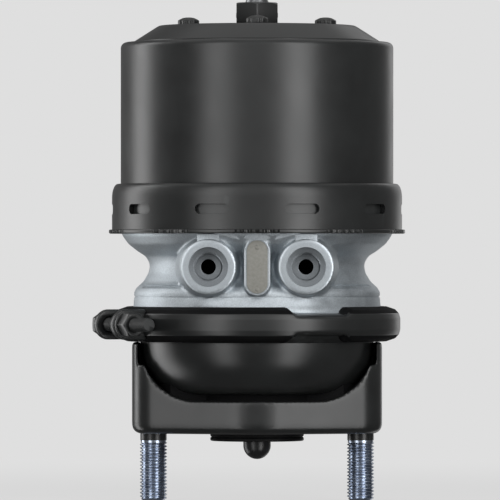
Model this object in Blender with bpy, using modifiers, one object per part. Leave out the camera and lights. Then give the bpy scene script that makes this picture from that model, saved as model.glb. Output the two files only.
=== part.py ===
"""Combination brake cylinder for a disc brake, at its real size in metres.

The origin is on the cylinder's axis in the plane of the mounting face. +Z points to the release screw,
and the two air ports face -Y. The push rod, the parking piston and the release screw all lie on the Z axis.
"""

import math

import bmesh
import bpy
from mathutils import Matrix, Vector

# Fits and facets
GAP = 0.0003
RUNNING_GAP = 0.0006
LARGE_STEPS = 32
MEDIUM_STEPS = 20
SMALL_STEPS = 16
HOLE_STEPS = 10
COIL_STEPS = 11
PIN_STEPS = 12
CORNER_POINTS = 6
BRACKET_POINTS = 4
EDGE_POINTS = 5
SHOULDER_STEPS = 3
WELD = 0.000002
TURN_MERGE = 0.00001
HALF_CORNER = math.radians(30)
SHARP_ANGLE = math.radians(32)

# Clamp joint between the two chambers
JOINT_Z = 0.06345
RIM_INSET = 0.0019
RIM_EDGE = 0.0032
RIM_TAPER = 0.0052
WEDGE_ANGLE = math.radians(33)

# Service pot and its bracket
POT_INSET = 0.0095
POT_WALL = 0.0035
POT_FLOOR_Z = 0.0180
POT_CORNER_R = 0.0320
POT_NECK_DROP = 0.0024
BRACKET_STUD_INSET = 0.004325
BRACKET_CORNER_R = 0.0166
BRACKET_CORNER_Y = 0.0143
BRACKET_NOSE_R = 0.0480
CRADLE_R = 0.0330
CRADLE_RISE = 0.0011
CRADLE_GRIP = 0.0005
BRACKET_EDGE_R = 0.0052
BRACKET_TOP_CLEARANCE = 0.0004
ROD_WELL_R = 0.0230
ROD_HOLE_R = 0.0190
ROD_LEDGE = 0.0050

# Mounting studs, M16
STUD_PITCH = 0.12065
STUD_R = 0.0079
STUD_SHANK_R = 0.00725
STUD_SHANK = 0.0044
STUD_REACH = 0.0395
STUD_GRIP = 0.0217
STUD_CHAMFER = 0.0015

# Seal on the mounting face
SEAL_R = 0.02725
SEAL_DEPTH = 0.0047
SEAL_SPIGOT = 0.0045
SEAL_BORE_R = 0.0155
SEAL_GROOVE = 0.0006
SEAL_SEAT = 0.0006
SEAL_SEAT_CLEARANCE = 0.0006

# Push rod, its plate and its boot
STROKE = 0.0570
ROD_R = 0.0080
ROD_REACH = 0.0154
PLATE_CLEARANCE = 0.0180
PLATE_THICKNESS = 0.0030
BOOT_R = 0.0190
BOOT_WAIST_R = 0.0125
BOOT_WALL = 0.0015
BOOT_FOLDS = 4
BOOT_FOOT = 0.0020
BOOT_RING = 0.0022
RETURN_WIRE_R = 0.0020
RETURN_FOOT_R = 0.0280
RETURN_HEAD_INSET = 0.0040
RETURN_TURNS = 4

# Diaphragm
DIAPHRAGM_THICKNESS = 0.0030
DIAPHRAGM_BEAD = 0.0025
DIAPHRAGM_BEAD_INSET = 0.0030

# Cast flange: heights above the clamp joint, depths below its upper rim, and insets from its two rims
CHAMBER_RISE = 0.02655
CHAMBER_WALL_RISE = 0.0133
CHAMBER_SHOULDER_DROP = 0.0053
CHAMBER_INSET = 0.0113
CHAMBER_SHOULDER_INSET = 0.0044
CHAMBER_ROOF_INSET = 0.0140
PARTITION = 0.0184
FLANGE_HEIGHT = 0.05805
FLANGE_RIM_INSET = 0.0001
FLANGE_RIM = 0.0042
SPIGOT_CLEARANCE = 0.0004
SPIGOT_RISE = 0.0049
SPIGOT_WALL = 0.0050
RECESS_INSET = 0.0100
NECK_FOOT = ((0.0055, 0.01145), (0.0062, 0.0150), (0.0058, 0.01845), (0.0075, 0.0212), (0.0112, 0.0244))
NECK_WAIST_INSET = 0.0191
NECK_WAIST_RISE = 0.03475
NECK_HEAD = ((0.0162, 0.0186), (0.0117, 0.0159), (0.0063, 0.0116), (0.0030, 0.0070), (0.0023, 0.0052))

# Air ports and the plate boss
PORT_X = 0.0280
PORT_RISE = 0.03325
PORT_STAND = 0.0139
PORT_FACE_R = 0.0161
PORT_ROOT_R = 0.0190
PORT_ROOT_DEPTH = 0.0101
PORT_MOUTH_R = 0.0115
PORT_MOUTH_DEPTH = 0.0030
PORT_THREAD_R = 0.0079
PORT_THREAD_DEPTH = 0.0160
PORT_DRILL_R = 0.0043
PORT_DRILL_DEPTH = 0.0241
PAD_WIDTH = 0.0126
PAD_CLEARANCE = 0.0018
PLATE_BOSS_WIDTH = 0.0153
PLATE_BOSS_LENGTH = 0.0338
PLATE_BOSS_STAND = 0.0010
PLATE_WIDTH = 0.0120
PLATE_SHEET = 0.0008
PLATE_RECESS = 0.0012

# Spring pot and locking ring
SPRING_POT_R = 0.0794
SPRING_POT_WALL = 0.0035
SPRING_POT_HEIGHT = 0.1055
SPRING_POT_CORNER_R = 0.0050
SPRING_POT_LIP = 0.0071
BAND_STEP = 0.0019
BAND_HEIGHT = 0.0155
BAND_SHOULDER = 0.0034
RING_CLEARANCE = 0.0004
RING_WALL = 0.0028
RING_RISE = 0.0234
RING_SHOULDER = 0.0080
CRIMP_STEP = 0.0018
CRIMP_HEIGHT = 0.0024
CRIMP_LIP = 0.0011
CRIMP_GRIP = 0.0022
SLOT_COUNT = 10
SLOT_LENGTH = 0.0205
SLOT_HEIGHT = 0.0058
SLOT_RISE = 0.0085

# Cover plate and its screws
COVER_WALL = 0.0040
COVER_RISE = 0.0097
COVER_CONE = 0.0224
COVER_EDGE = 0.0018
COVER_EDGE_DROP = 0.0010
COVER_RIM = 0.0036
COVER_HUB_R = 0.0140
COVER_HUB = 0.0070
SCREW_INSET = 0.0171
SCREW_HEAD_R = 0.00625
SCREW_HEAD = 0.0046
SCREW_HEAD_EDGE = 0.0027
SCREW_R = 0.0030
SCREW_LENGTH = 0.0076
SCREW_COUNT = 4

# Release screw
SPINDLE_R = 0.0080
SPINDLE_END_R = 0.0069
SPINDLE_TIP_R = 0.0061
SPINDLE_END = 0.0057
SPINDLE_TAPER = 0.0022
SPINDLE_TAIL = 0.0030
HEX_FLATS = 0.0240
HEX_HEIGHT = 0.0123
WASHER_R = 0.0115
WASHER_SHEET = 0.0006
PIN_R = 0.0015
PIN_RISE = 0.0050
PIN_STAND = 0.0002
SPINDLE_NUT_FLATS = 0.0220
SPINDLE_NUT_HEIGHT = 0.0075

# Parking piston, tube and power spring
PISTON_WALL = 0.0050
PISTON_RIM_WIDTH = 0.0173
PISTON_RIM = 0.0100
PISTON_RIM_RISE = 0.0180
PISTON_HUB_R = 0.0220
PISTON_HUB = 0.0090
PISTON_HOLE_CLEARANCE = 0.0015
PISTON_LAND = 0.00125
PISTON_SEAL_HEIGHT = 0.0036
PISTON_SEAL_DEPTH = 0.0040
GUIDE_RING_HEIGHT = 0.0026
GUIDE_RING_DEPTH = 0.0020
PISTON_END_GAP = 0.0006
TUBE_NUT_CLEARANCE = 0.0023
TUBE_WALL = 0.0040
TUBE_SOCKET = 0.0022
PLUG_SHEET = 0.0026
PLUG_SPIGOT = 0.0030
TUBE_SEAL_WIDTH = 0.0040
TUBE_SEAL_HEIGHT = 0.0042
TUBE_SEAL_NOTCH = 0.0015
TUBE_BUSH_HEIGHT = 0.0044
SPRING_WIRE_R = 0.0050
SPRING_FOOT_INSET = 0.0080
SPRING_HEAD_R = 0.0300
SPRING_TURNS = 5
SEAT_SHEET = 0.0020
SEAT_INSET = 0.0110
SEAT_BORE_R = 0.0190
VALVE_INSET = 0.0170
VALVE_R = 0.0045
VALVE_HEAD_R = 0.0065
VALVE_HEAD = 0.0022
O_RING_SECTION_R = 0.0010
O_RING_LAND = 0.0009

# Clamp ring and its bolt
CLAMP_STAND = 0.0060
CLAMP_HEIGHT = 0.0203
CLAMP_FACE = 0.0065
CLAMP_LIP_INSET = 0.0020
CLAMP_THROAT_INSET = 0.0047
CLAMP_CORNER = 0.0030
CLAMP_CORNER_DROP = 0.0017
CLAMP_CHEEK = 0.0008
CLAMP_CHEEK_DROP = 0.0041
CLAMP_SEAM_GAP = 0.0046
CLAMP_SEAM_ANGLE = math.radians(-60)
EAR_SPACING = 0.0154
EAR_THICKNESS = 0.0040
EAR_R = 0.0087
EAR_REACH = 0.0100
RELIEF_ANGLE = math.radians(27.5)
RELIEF_WIDTH = 0.0320
RELIEF_RAMP = 0.0060
RELIEF_DEPTH = 0.0034
BOLT_R = 0.0040
BOLT_FLATS = 0.0130
BOLT_HEAD = 0.0053
BOLT_END = 0.0165
NUT_HEIGHT = 0.0080
BOLT_WASHER_R = 0.0080
BOLT_WASHER_SHEET = 0.0016

# Radii of the service side, which follow the clamp rims
RIM_R = SPRING_POT_R - RIM_INSET
POT_R = RIM_R - POT_INSET
PLATE_R = POT_R - PLATE_CLEARANCE
RETURN_HEAD_R = PLATE_R - RETURN_HEAD_INSET
DIAPHRAGM_BEAD_R = RIM_R - DIAPHRAGM_BEAD_INSET
CHAMBER_R = RIM_R - CHAMBER_INSET
CHAMBER_SHOULDER_R = CHAMBER_R - CHAMBER_SHOULDER_INSET
CHAMBER_ROOF_R = CHAMBER_R - CHAMBER_ROOF_INSET
CLAMP_R = RIM_R + CLAMP_STAND
CLAMP_LIP_R = RIM_R - CLAMP_LIP_INSET
CLAMP_THROAT_R = RIM_R - CLAMP_THROAT_INSET
EAR_AXIS_R = CLAMP_R + EAR_REACH

# Radii of the parking side, which follow the spring pot
BORE_R = SPRING_POT_R - SPRING_POT_WALL
SPRING_POT_LIP_R = SPRING_POT_R - SPRING_POT_LIP
BAND_R = SPRING_POT_R + BAND_STEP
RING_R = BAND_R + RING_CLEARANCE + RING_WALL
CRIMP_R = RING_R + CRIMP_STEP
FLANGE_RIM_R = BAND_R - FLANGE_RIM_INSET
CRIMP_GRIP_R = FLANGE_RIM_R - CRIMP_GRIP
SPIGOT_R = BORE_R - SPIGOT_CLEARANCE
SPIGOT_BORE_R = SPIGOT_R - SPIGOT_WALL
RECESS_R = SPIGOT_BORE_R - RECESS_INSET
NECK_WAIST_R = FLANGE_RIM_R - NECK_WAIST_INSET
PORT_FACE_Y = NECK_WAIST_R + PORT_STAND
PORT_ROOT_Y = NECK_WAIST_R - PORT_ROOT_DEPTH
PORT_DRILL_Y = NECK_WAIST_R - PORT_DRILL_DEPTH
PLATE_BOSS_FACE_Y = PORT_FACE_Y + PLATE_BOSS_STAND
COVER_FLAT_R = SPRING_POT_R - COVER_CONE
COVER_EDGE_R = COVER_FLAT_R + COVER_EDGE
SCREW_CIRCLE_R = COVER_FLAT_R - SCREW_INSET
SEAT_R = COVER_FLAT_R - SEAT_INSET
PISTON_R = BORE_R - RUNNING_GAP
PISTON_POCKET_R = PISTON_R - PISTON_RIM_WIDTH
SPRING_FOOT_R = PISTON_POCKET_R - SPRING_FOOT_INSET
VALVE_CIRCLE_R = SPRING_FOOT_R - VALVE_INSET
TUBE_BORE_R = SPINDLE_NUT_FLATS / math.sqrt(3) + TUBE_NUT_CLEARANCE
TUBE_R = TUBE_BORE_R + TUBE_WALL
TUBE_SEAL_R = TUBE_R + TUBE_SEAL_WIDTH

# Heights of the service side
STUD_X = STUD_PITCH / 2
BRACKET_CORNER_X = STUD_X - BRACKET_STUD_INSET
WEDGE = math.tan(WEDGE_ANGLE)
POT_RIM_Z = JOINT_Z - DIAPHRAGM_BEAD / 2 - GAP
CASTING_Z = JOINT_Z + DIAPHRAGM_BEAD / 2 + GAP
POT_INNER_FLOOR_Z = POT_FLOOR_Z + POT_WALL
CRADLE_Z = POT_FLOOR_Z + CRADLE_RISE
BRACKET_TOP_Z = JOINT_Z - CLAMP_HEIGHT / 2 - BRACKET_TOP_CLEARANCE
ROOF_Z = JOINT_Z + CHAMBER_RISE
RECESS_Z = ROOF_Z + PARTITION
FLANGE_Z = JOINT_Z + FLANGE_HEIGHT
PORT_Z = JOINT_Z + PORT_RISE
DIAPHRAGM_Z = ROOF_Z - GAP - DIAPHRAGM_THICKNESS
PLATE_Z = DIAPHRAGM_Z - GAP - PLATE_THICKNESS

# Heights of the parking side
SPRING_POT_TOP_Z = FLANGE_Z + GAP + SPRING_POT_HEIGHT
COVER_TOP_Z = SPRING_POT_TOP_Z + COVER_RISE
COVER_ROOF_Z = COVER_TOP_Z - COVER_WALL
SEAT_Z = COVER_ROOF_Z - GAP - SEAT_SHEET
PISTON_Z = RECESS_Z + PISTON_END_GAP + STROKE
PISTON_FLOOR_Z = PISTON_Z + PISTON_WALL
PISTON_RIM_Z = PISTON_Z + PISTON_RIM_RISE
PISTON_TOP_Z = PISTON_RIM_Z + PISTON_RIM
SEAL_GROOVE_Z = PISTON_RIM_Z + PISTON_LAND
GUIDE_GROOVE_Z = PISTON_TOP_Z - PISTON_LAND - GUIDE_RING_HEIGHT - 2 * GAP
TUBE_END_Z = ROOF_Z + GAP + PLUG_SHEET + GAP
SPINDLE_NUT_Z = RECESS_Z + PISTON_END_GAP - GAP - SPINDLE_NUT_HEIGHT
WASHER_Z = COVER_TOP_Z + GAP
HEX_Z = WASHER_Z + WASHER_SHEET + GAP


def collection(name):
    """A new collection in the scene."""
    made = bpy.data.collections.new(name)
    bpy.context.scene.collection.children.link(made)
    return made


def material(name, colour, metallic, roughness):
    """A Principled material of one colour."""
    made = bpy.data.materials.new(name)
    made.use_nodes = True
    shader = made.node_tree.nodes["Principled BSDF"]
    shader.inputs["Base Color"].default_value = (*colour, 1.0)
    shader.inputs["Metallic"].default_value = metallic
    shader.inputs["Roughness"].default_value = roughness
    return made


def put(name, mesh, where, finish=None):
    """An object for this mesh in the collection, with its material."""
    made = bpy.data.objects.new(name, mesh)
    where.objects.link(made)
    if finish is not None:
        mesh.materials.append(finish)
    return made


def hide(tool):
    """Marks an object as a cutter or a joined shape, which isn't a piece of its own."""
    tool.hide_render = True
    tool.display_type = "WIRE"
    return tool


def arc(centre_r, centre_z, radius, start, end, count):
    """Points of an arc in the profile plane, from one angle to another in degrees, both ends included."""
    angles = [math.radians(start + (end - start) * i / (count - 1)) for i in range(count)]
    return [(centre_r + radius * math.cos(a), centre_z + radius * math.sin(a)) for a in angles]


def turned(name, profile, where, finish=None, steps=LARGE_STEPS, ring=False):
    """A profile turned about Z. It runs down the outer side, and a ring's profile closes on itself."""
    points = [(r, 0.0, z) for r, z in profile]
    edges = [(i, i + 1) for i in range(len(points) - 1)]
    if ring:
        edges.append((len(points) - 1, 0))
    mesh = bpy.data.meshes.new(name)
    mesh.from_pydata(points, edges, [])
    made = put(name, mesh, where, finish)
    screw = made.modifiers.new("Turn", "SCREW")
    screw.steps = steps
    screw.render_steps = steps
    screw.use_merge_vertices = True
    screw.merge_threshold = TURN_MERGE
    screw.use_smooth_shade = True
    return made


def mesh_of(source, where):
    """A mesh object made from a curve object, with its loose caps welded on. The curve is removed."""
    bpy.context.view_layer.update()
    graph = bpy.context.evaluated_depsgraph_get()
    mesh = bpy.data.meshes.new_from_object(source.evaluated_get(graph))
    shape = bmesh.new()
    shape.from_mesh(mesh)
    bmesh.ops.remove_doubles(shape, verts=shape.verts, dist=WELD)
    bmesh.ops.recalc_face_normals(shape, faces=shape.faces)
    shape.to_mesh(mesh)
    shape.free()
    name = source.name
    place = source.matrix_world.copy()
    bpy.data.objects.remove(source)
    made = bpy.data.objects.new(name, mesh)
    made.matrix_world = place
    where.objects.link(made)
    return made


def prism(name, outline, thickness, place, where, finish=None):
    """A flat outline given its thickness, half of it on each side of the outline's plane."""
    curve = bpy.data.curves.new(name, "CURVE")
    curve.dimensions = "2D"
    curve.fill_mode = "BOTH"
    curve.extrude = thickness / 2
    spline = curve.splines.new("POLY")
    spline.points.add(len(outline) - 1)
    for point, (x, y) in zip(spline.points, outline):
        point.co = (x, y, 0.0, 1.0)
    spline.use_cyclic_u = True
    source = bpy.data.objects.new(name, curve)
    source.matrix_world = place
    where.objects.link(source)
    made = mesh_of(source, where)
    if finish is not None:
        made.data.materials.append(finish)
    return made


def cone(name, base_r, top_r, depth, place, where, finish=None, steps=SMALL_STEPS):
    """A capped cone or cylinder from local z = 0 to its depth."""
    shape = bmesh.new()
    bmesh.ops.create_cone(
        shape,
        cap_ends=True,
        segments=steps,
        radius1=base_r,
        radius2=top_r,
        depth=depth,
        matrix=Matrix.Translation((0, 0, depth / 2)),
    )
    mesh = bpy.data.meshes.new(name)
    shape.to_mesh(mesh)
    shape.free()
    made = put(name, mesh, where, finish)
    made.matrix_world = place
    return made


def block(name, low, high, where, place=Matrix.Identity(4)):
    """A box between two corners of its own frame."""
    shape = bmesh.new()
    middle = (Vector(low) + Vector(high)) / 2
    size = Vector(high) - Vector(low)
    bmesh.ops.create_cube(shape, matrix=Matrix.Translation(middle) @ Matrix.Diagonal((*size, 1)))
    mesh = bpy.data.meshes.new(name)
    shape.to_mesh(mesh)
    shape.free()
    made = put(name, mesh, where)
    made.matrix_world = place
    return made


def combine(target, tool, operation):
    """A Boolean of the target with a tool, which is hidden."""
    hide(tool)
    modifier = target.modifiers.new(tool.name, "BOOLEAN")
    modifier.operation = operation
    modifier.object = tool
    modifier.solver = "EXACT"


def cut(target, tool):
    """Takes the tool's shape out of the target."""
    combine(target, tool, "DIFFERENCE")


def join(target, tool):
    """Adds the tool's shape to the target."""
    combine(target, tool, "UNION")


def about_z(angle):
    """A turn about Z that takes the front, -Y, to this angle, positive towards +X."""
    return Matrix.Rotation(angle, 4, "Z")


def facing_front(x, y, z):
    """A frame whose local z points to the front, -Y, with its x to the right and its y up."""
    return Matrix.Translation((x, y, z)) @ Matrix.Rotation(math.radians(90), 4, "X")


def obround(width, length):
    """An outline with round ends, its length along the second axis."""
    radius = width / 2
    straight = length / 2 - radius
    steps = HOLE_STEPS // 2
    ends = [math.pi * i / steps for i in range(steps + 1)]
    top = [(radius * math.cos(a), straight + radius * math.sin(a)) for a in ends]
    return top + [(-x, -y) for x, y in top]


def hexagon(flats):
    """A hexagon with two corners on its first axis."""
    radius = flats / math.sqrt(3)
    return [(radius * math.cos(k * math.pi / 3), radius * math.sin(k * math.pi / 3)) for k in range(6)]


def hull_of_circles(circles, steps):
    """The outline of a belt laid round circles (x, y, radius), which are given anticlockwise."""
    outline = []
    count = len(circles)
    normals = []
    for i in range(count):
        x1, y1, r1 = circles[i]
        x2, y2, r2 = circles[(i + 1) % count]
        along = math.atan2(y2 - y1, x2 - x1)
        normals.append(along - math.acos((r1 - r2) / math.hypot(x2 - x1, y2 - y1)))
    for i, (x, y, r) in enumerate(circles):
        start = normals[i - 1]
        sweep = (normals[i] - start) % (2 * math.pi)
        for k in range(steps + 1):
            a = start + sweep * k / steps
            outline.append((x + r * math.cos(a), y + r * math.sin(a)))
    return outline


def coil(name, radii, seats, wire_r, turns, where, finish):
    """A conical coil spring: its radii and seats are those of its foot and of its head."""
    foot_r, head_r = radii
    low_z, high_z = seats
    steps = COIL_STEPS * turns
    start = low_z + GAP + wire_r
    rise = high_z - GAP - wire_r - start
    curve = bpy.data.curves.new(name, "CURVE")
    curve.dimensions = "3D"
    curve.bevel_depth = wire_r
    curve.bevel_resolution = 2
    curve.use_fill_caps = True
    spline = curve.splines.new("POLY")
    spline.points.add(steps)
    for i, point in enumerate(spline.points):
        share = i / steps
        radius = foot_r + (head_r - foot_r) * share
        angle = 2 * math.pi * turns * share
        point.co = (radius * math.cos(angle), radius * math.sin(angle), start + rise * share, 1.0)
    source = bpy.data.objects.new(name, curve)
    where.objects.link(source)
    made = mesh_of(source, where)
    made.data.materials.append(finish)
    return made


def pot_outline(offset):
    """The outside of the service pot's wall and floor, or a line inside it, from its rim to the axis."""
    corner = POT_CORNER_R - offset
    centre_r = POT_R - POT_CORNER_R
    centre_z = POT_FLOOR_Z + POT_CORNER_R
    return arc(centre_r, centre_z, corner, 0, -90, CORNER_POINTS) + [(0.0, centre_z - corner)]


def service_housing(where, cutters, finish):
    """Steel pot with its clamp rim, and the bracket that carries the studs."""
    edge_z = POT_RIM_Z - RIM_EDGE
    taper_z = edge_z - RIM_TAPER * WEDGE
    profile = [(0.0, POT_RIM_Z), (RIM_R, POT_RIM_Z), (RIM_R, edge_z), (RIM_R - RIM_TAPER, taper_z)]
    profile += [(POT_R, taper_z - POT_NECK_DROP)]
    profile += pot_outline(0.0)
    made = turned("service_housing", profile, where, finish)

    join(made, stud_bracket(cutters))

    inside = [(0.0, POT_RIM_Z + GAP), (POT_R - POT_WALL, POT_RIM_Z + GAP)] + pot_outline(POT_WALL)
    cut(made, turned("pot_inside", inside, cutters))
    well_top = POT_INNER_FLOOR_Z + GAP
    well = [(0.0, well_top), (ROD_WELL_R, well_top), (ROD_WELL_R, ROD_LEDGE), (ROD_HOLE_R, ROD_LEDGE)]
    seat_r = SEAL_R + SEAL_SEAT_CLEARANCE
    well += [(ROD_HOLE_R, SEAL_SEAT), (seat_r, SEAL_SEAT), (seat_r, -GAP), (0.0, -GAP)]
    cut(made, turned("rod_well", well, cutters, steps=MEDIUM_STEPS))
    bore_r = STUD_R + GAP
    for side in (-1, 1):
        place = Matrix.Translation((side * STUD_X, 0, -GAP))
        cut(made, cone("stud_bore", bore_r, bore_r, STUD_GRIP + 2 * GAP, place, cutters))
    return made


def stud_bracket(cutters):
    """Wide block with a blunt nose at the front and at the back, hollowed along Y to cradle the pot."""
    nose = (0.0, 0.0, BRACKET_NOSE_R)
    x, y, r = BRACKET_CORNER_X, BRACKET_CORNER_Y, BRACKET_CORNER_R
    plan = hull_of_circles([nose, (x, -y, r), (x, y, r), nose, (-x, y, r), (-x, -y, r)], BRACKET_POINTS)
    made = prism("bracket", plan, BRACKET_TOP_Z, Matrix.Translation((0, 0, BRACKET_TOP_Z / 2)), cutters)
    round_foot(made)

    half = POT_R - CRADLE_GRIP
    side = arc(half - CRADLE_R, CRADLE_Z + CRADLE_R, CRADLE_R, 0, -90, CORNER_POINTS)
    top = BRACKET_TOP_Z + GAP
    outline = [(half, top)] + side + [(-x, z) for x, z in reversed(side)] + [(-half, top)]
    depth = 2 * (BRACKET_NOSE_R + GAP)
    cut(made, prism("cradle", outline, depth, facing_front(0, 0, 0), cutters))
    return made


def round_foot(bracket):
    """Rounds the edge of the bracket's mounting face."""
    shape = bmesh.new()
    shape.from_mesh(bracket.data)
    low = min(v.co.z for v in shape.verts)
    foot = [e for e in shape.edges if all(abs(v.co.z - low) < GAP for v in e.verts)]
    foot = [e for e in foot if any(abs(f.normal.z) < 0.5 for f in e.link_faces)]
    bmesh.ops.bevel(
        shape, geom=foot, offset=BRACKET_EDGE_R, segments=2, profile=0.5, affect="EDGES", clamp_overlap=True
    )
    shape.to_mesh(bracket.data)
    shape.free()


def stud(name, side, where, finish):
    """M16 stud pressed into the bracket."""
    profile = [(0.0, STUD_GRIP), (STUD_R, STUD_GRIP), (STUD_R, GAP), (STUD_SHANK_R, GAP)]
    profile += [(STUD_SHANK_R, -STUD_SHANK), (STUD_R, -STUD_SHANK - STUD_CHAMFER / 2)]
    profile += [(STUD_R, -STUD_REACH + STUD_CHAMFER), (STUD_R - STUD_CHAMFER, -STUD_REACH)]
    profile += [(0.0, -STUD_REACH)]
    made = turned(name, profile, where, finish, steps=SMALL_STEPS)
    made.location.x = side * STUD_X
    return made


def mounting_seal(where, finish):
    """Rubber seal that sits in the rod's hole and stands below the mounting face."""
    middle = -SEAL_DEPTH / 2
    seat = SEAL_SEAT - GAP
    profile = [(ROD_HOLE_R - GAP, SEAL_SPIGOT), (ROD_HOLE_R - GAP, seat), (SEAL_R, seat)]
    profile += [(SEAL_R, middle + SEAL_GROOVE), (SEAL_R - SEAL_GROOVE, middle)]
    profile += [(SEAL_R, middle - SEAL_GROOVE), (SEAL_R, -SEAL_DEPTH)]
    profile += [(SEAL_BORE_R, -SEAL_DEPTH), (SEAL_BORE_R, SEAL_SPIGOT)]
    return turned("mounting_seal", profile, where, finish, steps=MEDIUM_STEPS, ring=True)


def push_rod(where, finish):
    """Rod with a ball end, under the pressure plate."""
    top = PLATE_Z - GAP
    ball_z = -ROD_REACH + ROD_R
    profile = [(0.0, top), (ROD_R, top)] + arc(0.0, ball_z, ROD_R, 0, -90, CORNER_POINTS)
    return turned("push_rod", profile, where, finish, steps=SMALL_STEPS)


def pressure_plate(where, finish):
    """Round plate that carries the diaphragm."""
    half = PLATE_THICKNESS / 2
    profile = [(0.0, PLATE_Z + PLATE_THICKNESS)]
    profile += arc(PLATE_R - half, PLATE_Z + half, half, 90, -90, EDGE_POINTS) + [(0.0, PLATE_Z)]
    return turned("pressure_plate", profile, where, finish, steps=MEDIUM_STEPS)


def rod_boot(where, finish):
    """Bellows round the rod, from the ledge in the bracket to the pressure plate."""
    foot_z = ROD_LEDGE + GAP
    top_z = PLATE_Z - GAP
    first = foot_z + BOOT_FOOT + BOOT_RING + GAP
    pitch = (top_z - first) / (2 * BOOT_FOLDS)
    outer = []
    for i in range(2 * BOOT_FOLDS + 1):
        radius = BOOT_WAIST_R if i % 2 else BOOT_R
        outer.append((radius, top_z - pitch * i))
    inner = [(r - BOOT_WALL, z) for r, z in reversed(outer)]
    flange_r = ROD_WELL_R - GAP
    foot = [(BOOT_R, foot_z + BOOT_FOOT), (flange_r, foot_z + BOOT_FOOT), (flange_r, foot_z)]
    foot += [(BOOT_R - BOOT_WALL, foot_z)]
    return turned("rod_boot", outer + foot + inner, where, finish, steps=SMALL_STEPS, ring=True)


def boot_ring(where, finish):
    """Steel ring pressed over the boot's foot."""
    low = ROD_LEDGE + GAP + BOOT_FOOT + GAP
    high = low + BOOT_RING
    outer = ROD_WELL_R - GAP
    inner = BOOT_R + GAP
    profile = [(outer, high), (outer, low), (inner, low), (inner, high)]
    return turned("boot_ring", profile, where, finish, steps=MEDIUM_STEPS, ring=True)


def return_spring(where, finish):
    """Spring that lifts the pressure plate off the pot's floor."""
    radii = (RETURN_FOOT_R, RETURN_HEAD_R)
    seats = (POT_INNER_FLOOR_Z, PLATE_Z)
    return coil("return_spring", radii, seats, RETURN_WIRE_R, RETURN_TURNS, where, finish)


def power_spring(where, finish):
    """Spring that presses the parking piston down from the cover."""
    radii = (SPRING_FOOT_R, SPRING_HEAD_R)
    seats = (PISTON_FLOOR_Z, SEAT_Z)
    return coil("power_spring", radii, seats, SPRING_WIRE_R, SPRING_TURNS, where, finish)


def chamber_outline(offset):
    """The inside of the casting's service chamber, from mouth to roof, moved inwards by an offset."""
    return [
        (CHAMBER_R - offset, CASTING_Z - GAP),
        (CHAMBER_R - offset, CASTING_Z + CHAMBER_WALL_RISE - offset),
        (CHAMBER_SHOULDER_R - offset, ROOF_Z - CHAMBER_SHOULDER_DROP - offset),
        (CHAMBER_ROOF_R - offset, ROOF_Z - offset),
    ]


def diaphragm(where, finish):
    """Rubber diaphragm: its bead is held in the clamp joint, and its dome lies under the casting's roof."""
    top = list(reversed(chamber_outline(GAP)))
    under = chamber_outline(GAP + DIAPHRAGM_THICKNESS)
    bead_top = JOINT_Z + DIAPHRAGM_BEAD / 2
    bead_low = JOINT_Z - DIAPHRAGM_BEAD / 2
    profile = [(0.0, top[0][1])] + top[:-1]
    profile += [(top[-1][0], bead_top), (DIAPHRAGM_BEAD_R, bead_top), (DIAPHRAGM_BEAD_R, bead_low)]
    profile += [(under[0][0], bead_low)] + under[1:] + [(0.0, under[-1][1])]
    return turned("diaphragm", profile, where, finish, steps=MEDIUM_STEPS)


def neck_outline():
    """The casting's outside between its two rims, from top to bottom."""
    head = [(FLANGE_RIM_R - inset, FLANGE_Z - drop) for inset, drop in reversed(NECK_HEAD)]
    foot = [(RIM_R - inset, JOINT_Z + rise) for inset, rise in reversed(NECK_FOOT)]
    return head + [(NECK_WAIST_R, JOINT_Z + NECK_WAIST_RISE)] + foot


def flange_housing(where, cutters, finish):
    """Cast aluminium body between the chambers, with both ports and the plate boss."""
    rim_low = FLANGE_Z - FLANGE_RIM
    edge_z = CASTING_Z + RIM_EDGE
    spigot_z = FLANGE_Z + SPIGOT_RISE
    groove_r = SPIGOT_R - 2 * O_RING_SECTION_R - GAP
    groove_low = FLANGE_Z + O_RING_LAND
    groove_high = groove_low + 2 * O_RING_SECTION_R + 2 * GAP
    profile = [(0.0, spigot_z), (SPIGOT_R, spigot_z), (SPIGOT_R, groove_high), (groove_r, groove_high)]
    profile += [(groove_r, groove_low), (SPIGOT_R, groove_low), (SPIGOT_R, FLANGE_Z)]
    profile += [(FLANGE_RIM_R, FLANGE_Z), (FLANGE_RIM_R, rim_low)]
    neck = neck_outline()
    profile += [(neck[0][0], rim_low)] + neck
    profile += [(RIM_R - RIM_TAPER, edge_z + RIM_TAPER * WEDGE), (RIM_R, edge_z), (RIM_R, CASTING_Z)]
    profile += [(0.0, CASTING_Z)]
    made = turned("flange_housing", profile, where, finish)

    for name, side in (("left", -1), ("right", 1)):
        add_port(made, name, side, cutters)
    add_plate_boss(made, cutters)

    chamber = [(0.0, ROOF_Z)] + list(reversed(chamber_outline(0.0))) + [(0.0, CASTING_Z - GAP)]
    cut(made, turned("service_chamber", chamber, cutters, steps=MEDIUM_STEPS))
    recess_top = spigot_z + GAP
    recess = [(0.0, recess_top), (SPIGOT_BORE_R, recess_top), (SPIGOT_BORE_R, FLANGE_Z - FLANGE_RIM)]
    recess += [(RECESS_R, RECESS_Z), (0.0, RECESS_Z)]
    cut(made, turned("parking_recess", recess, cutters, steps=MEDIUM_STEPS))
    seat_z = RECESS_Z - 3 * GAP - TUBE_SEAL_HEIGHT - TUBE_BUSH_HEIGHT
    bore = [(0.0, RECESS_Z + GAP), (TUBE_SEAL_R + GAP, RECESS_Z + GAP), (TUBE_SEAL_R + GAP, seat_z)]
    bore += [(TUBE_R + GAP, seat_z), (TUBE_R + GAP, ROOF_Z - GAP), (0.0, ROOF_Z - GAP)]
    cut(made, turned("tube_bore", bore, cutters, steps=MEDIUM_STEPS))
    for name, side in (("left", -1), ("right", 1)):
        drill_port(made, name, side, cutters)
    return made


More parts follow.
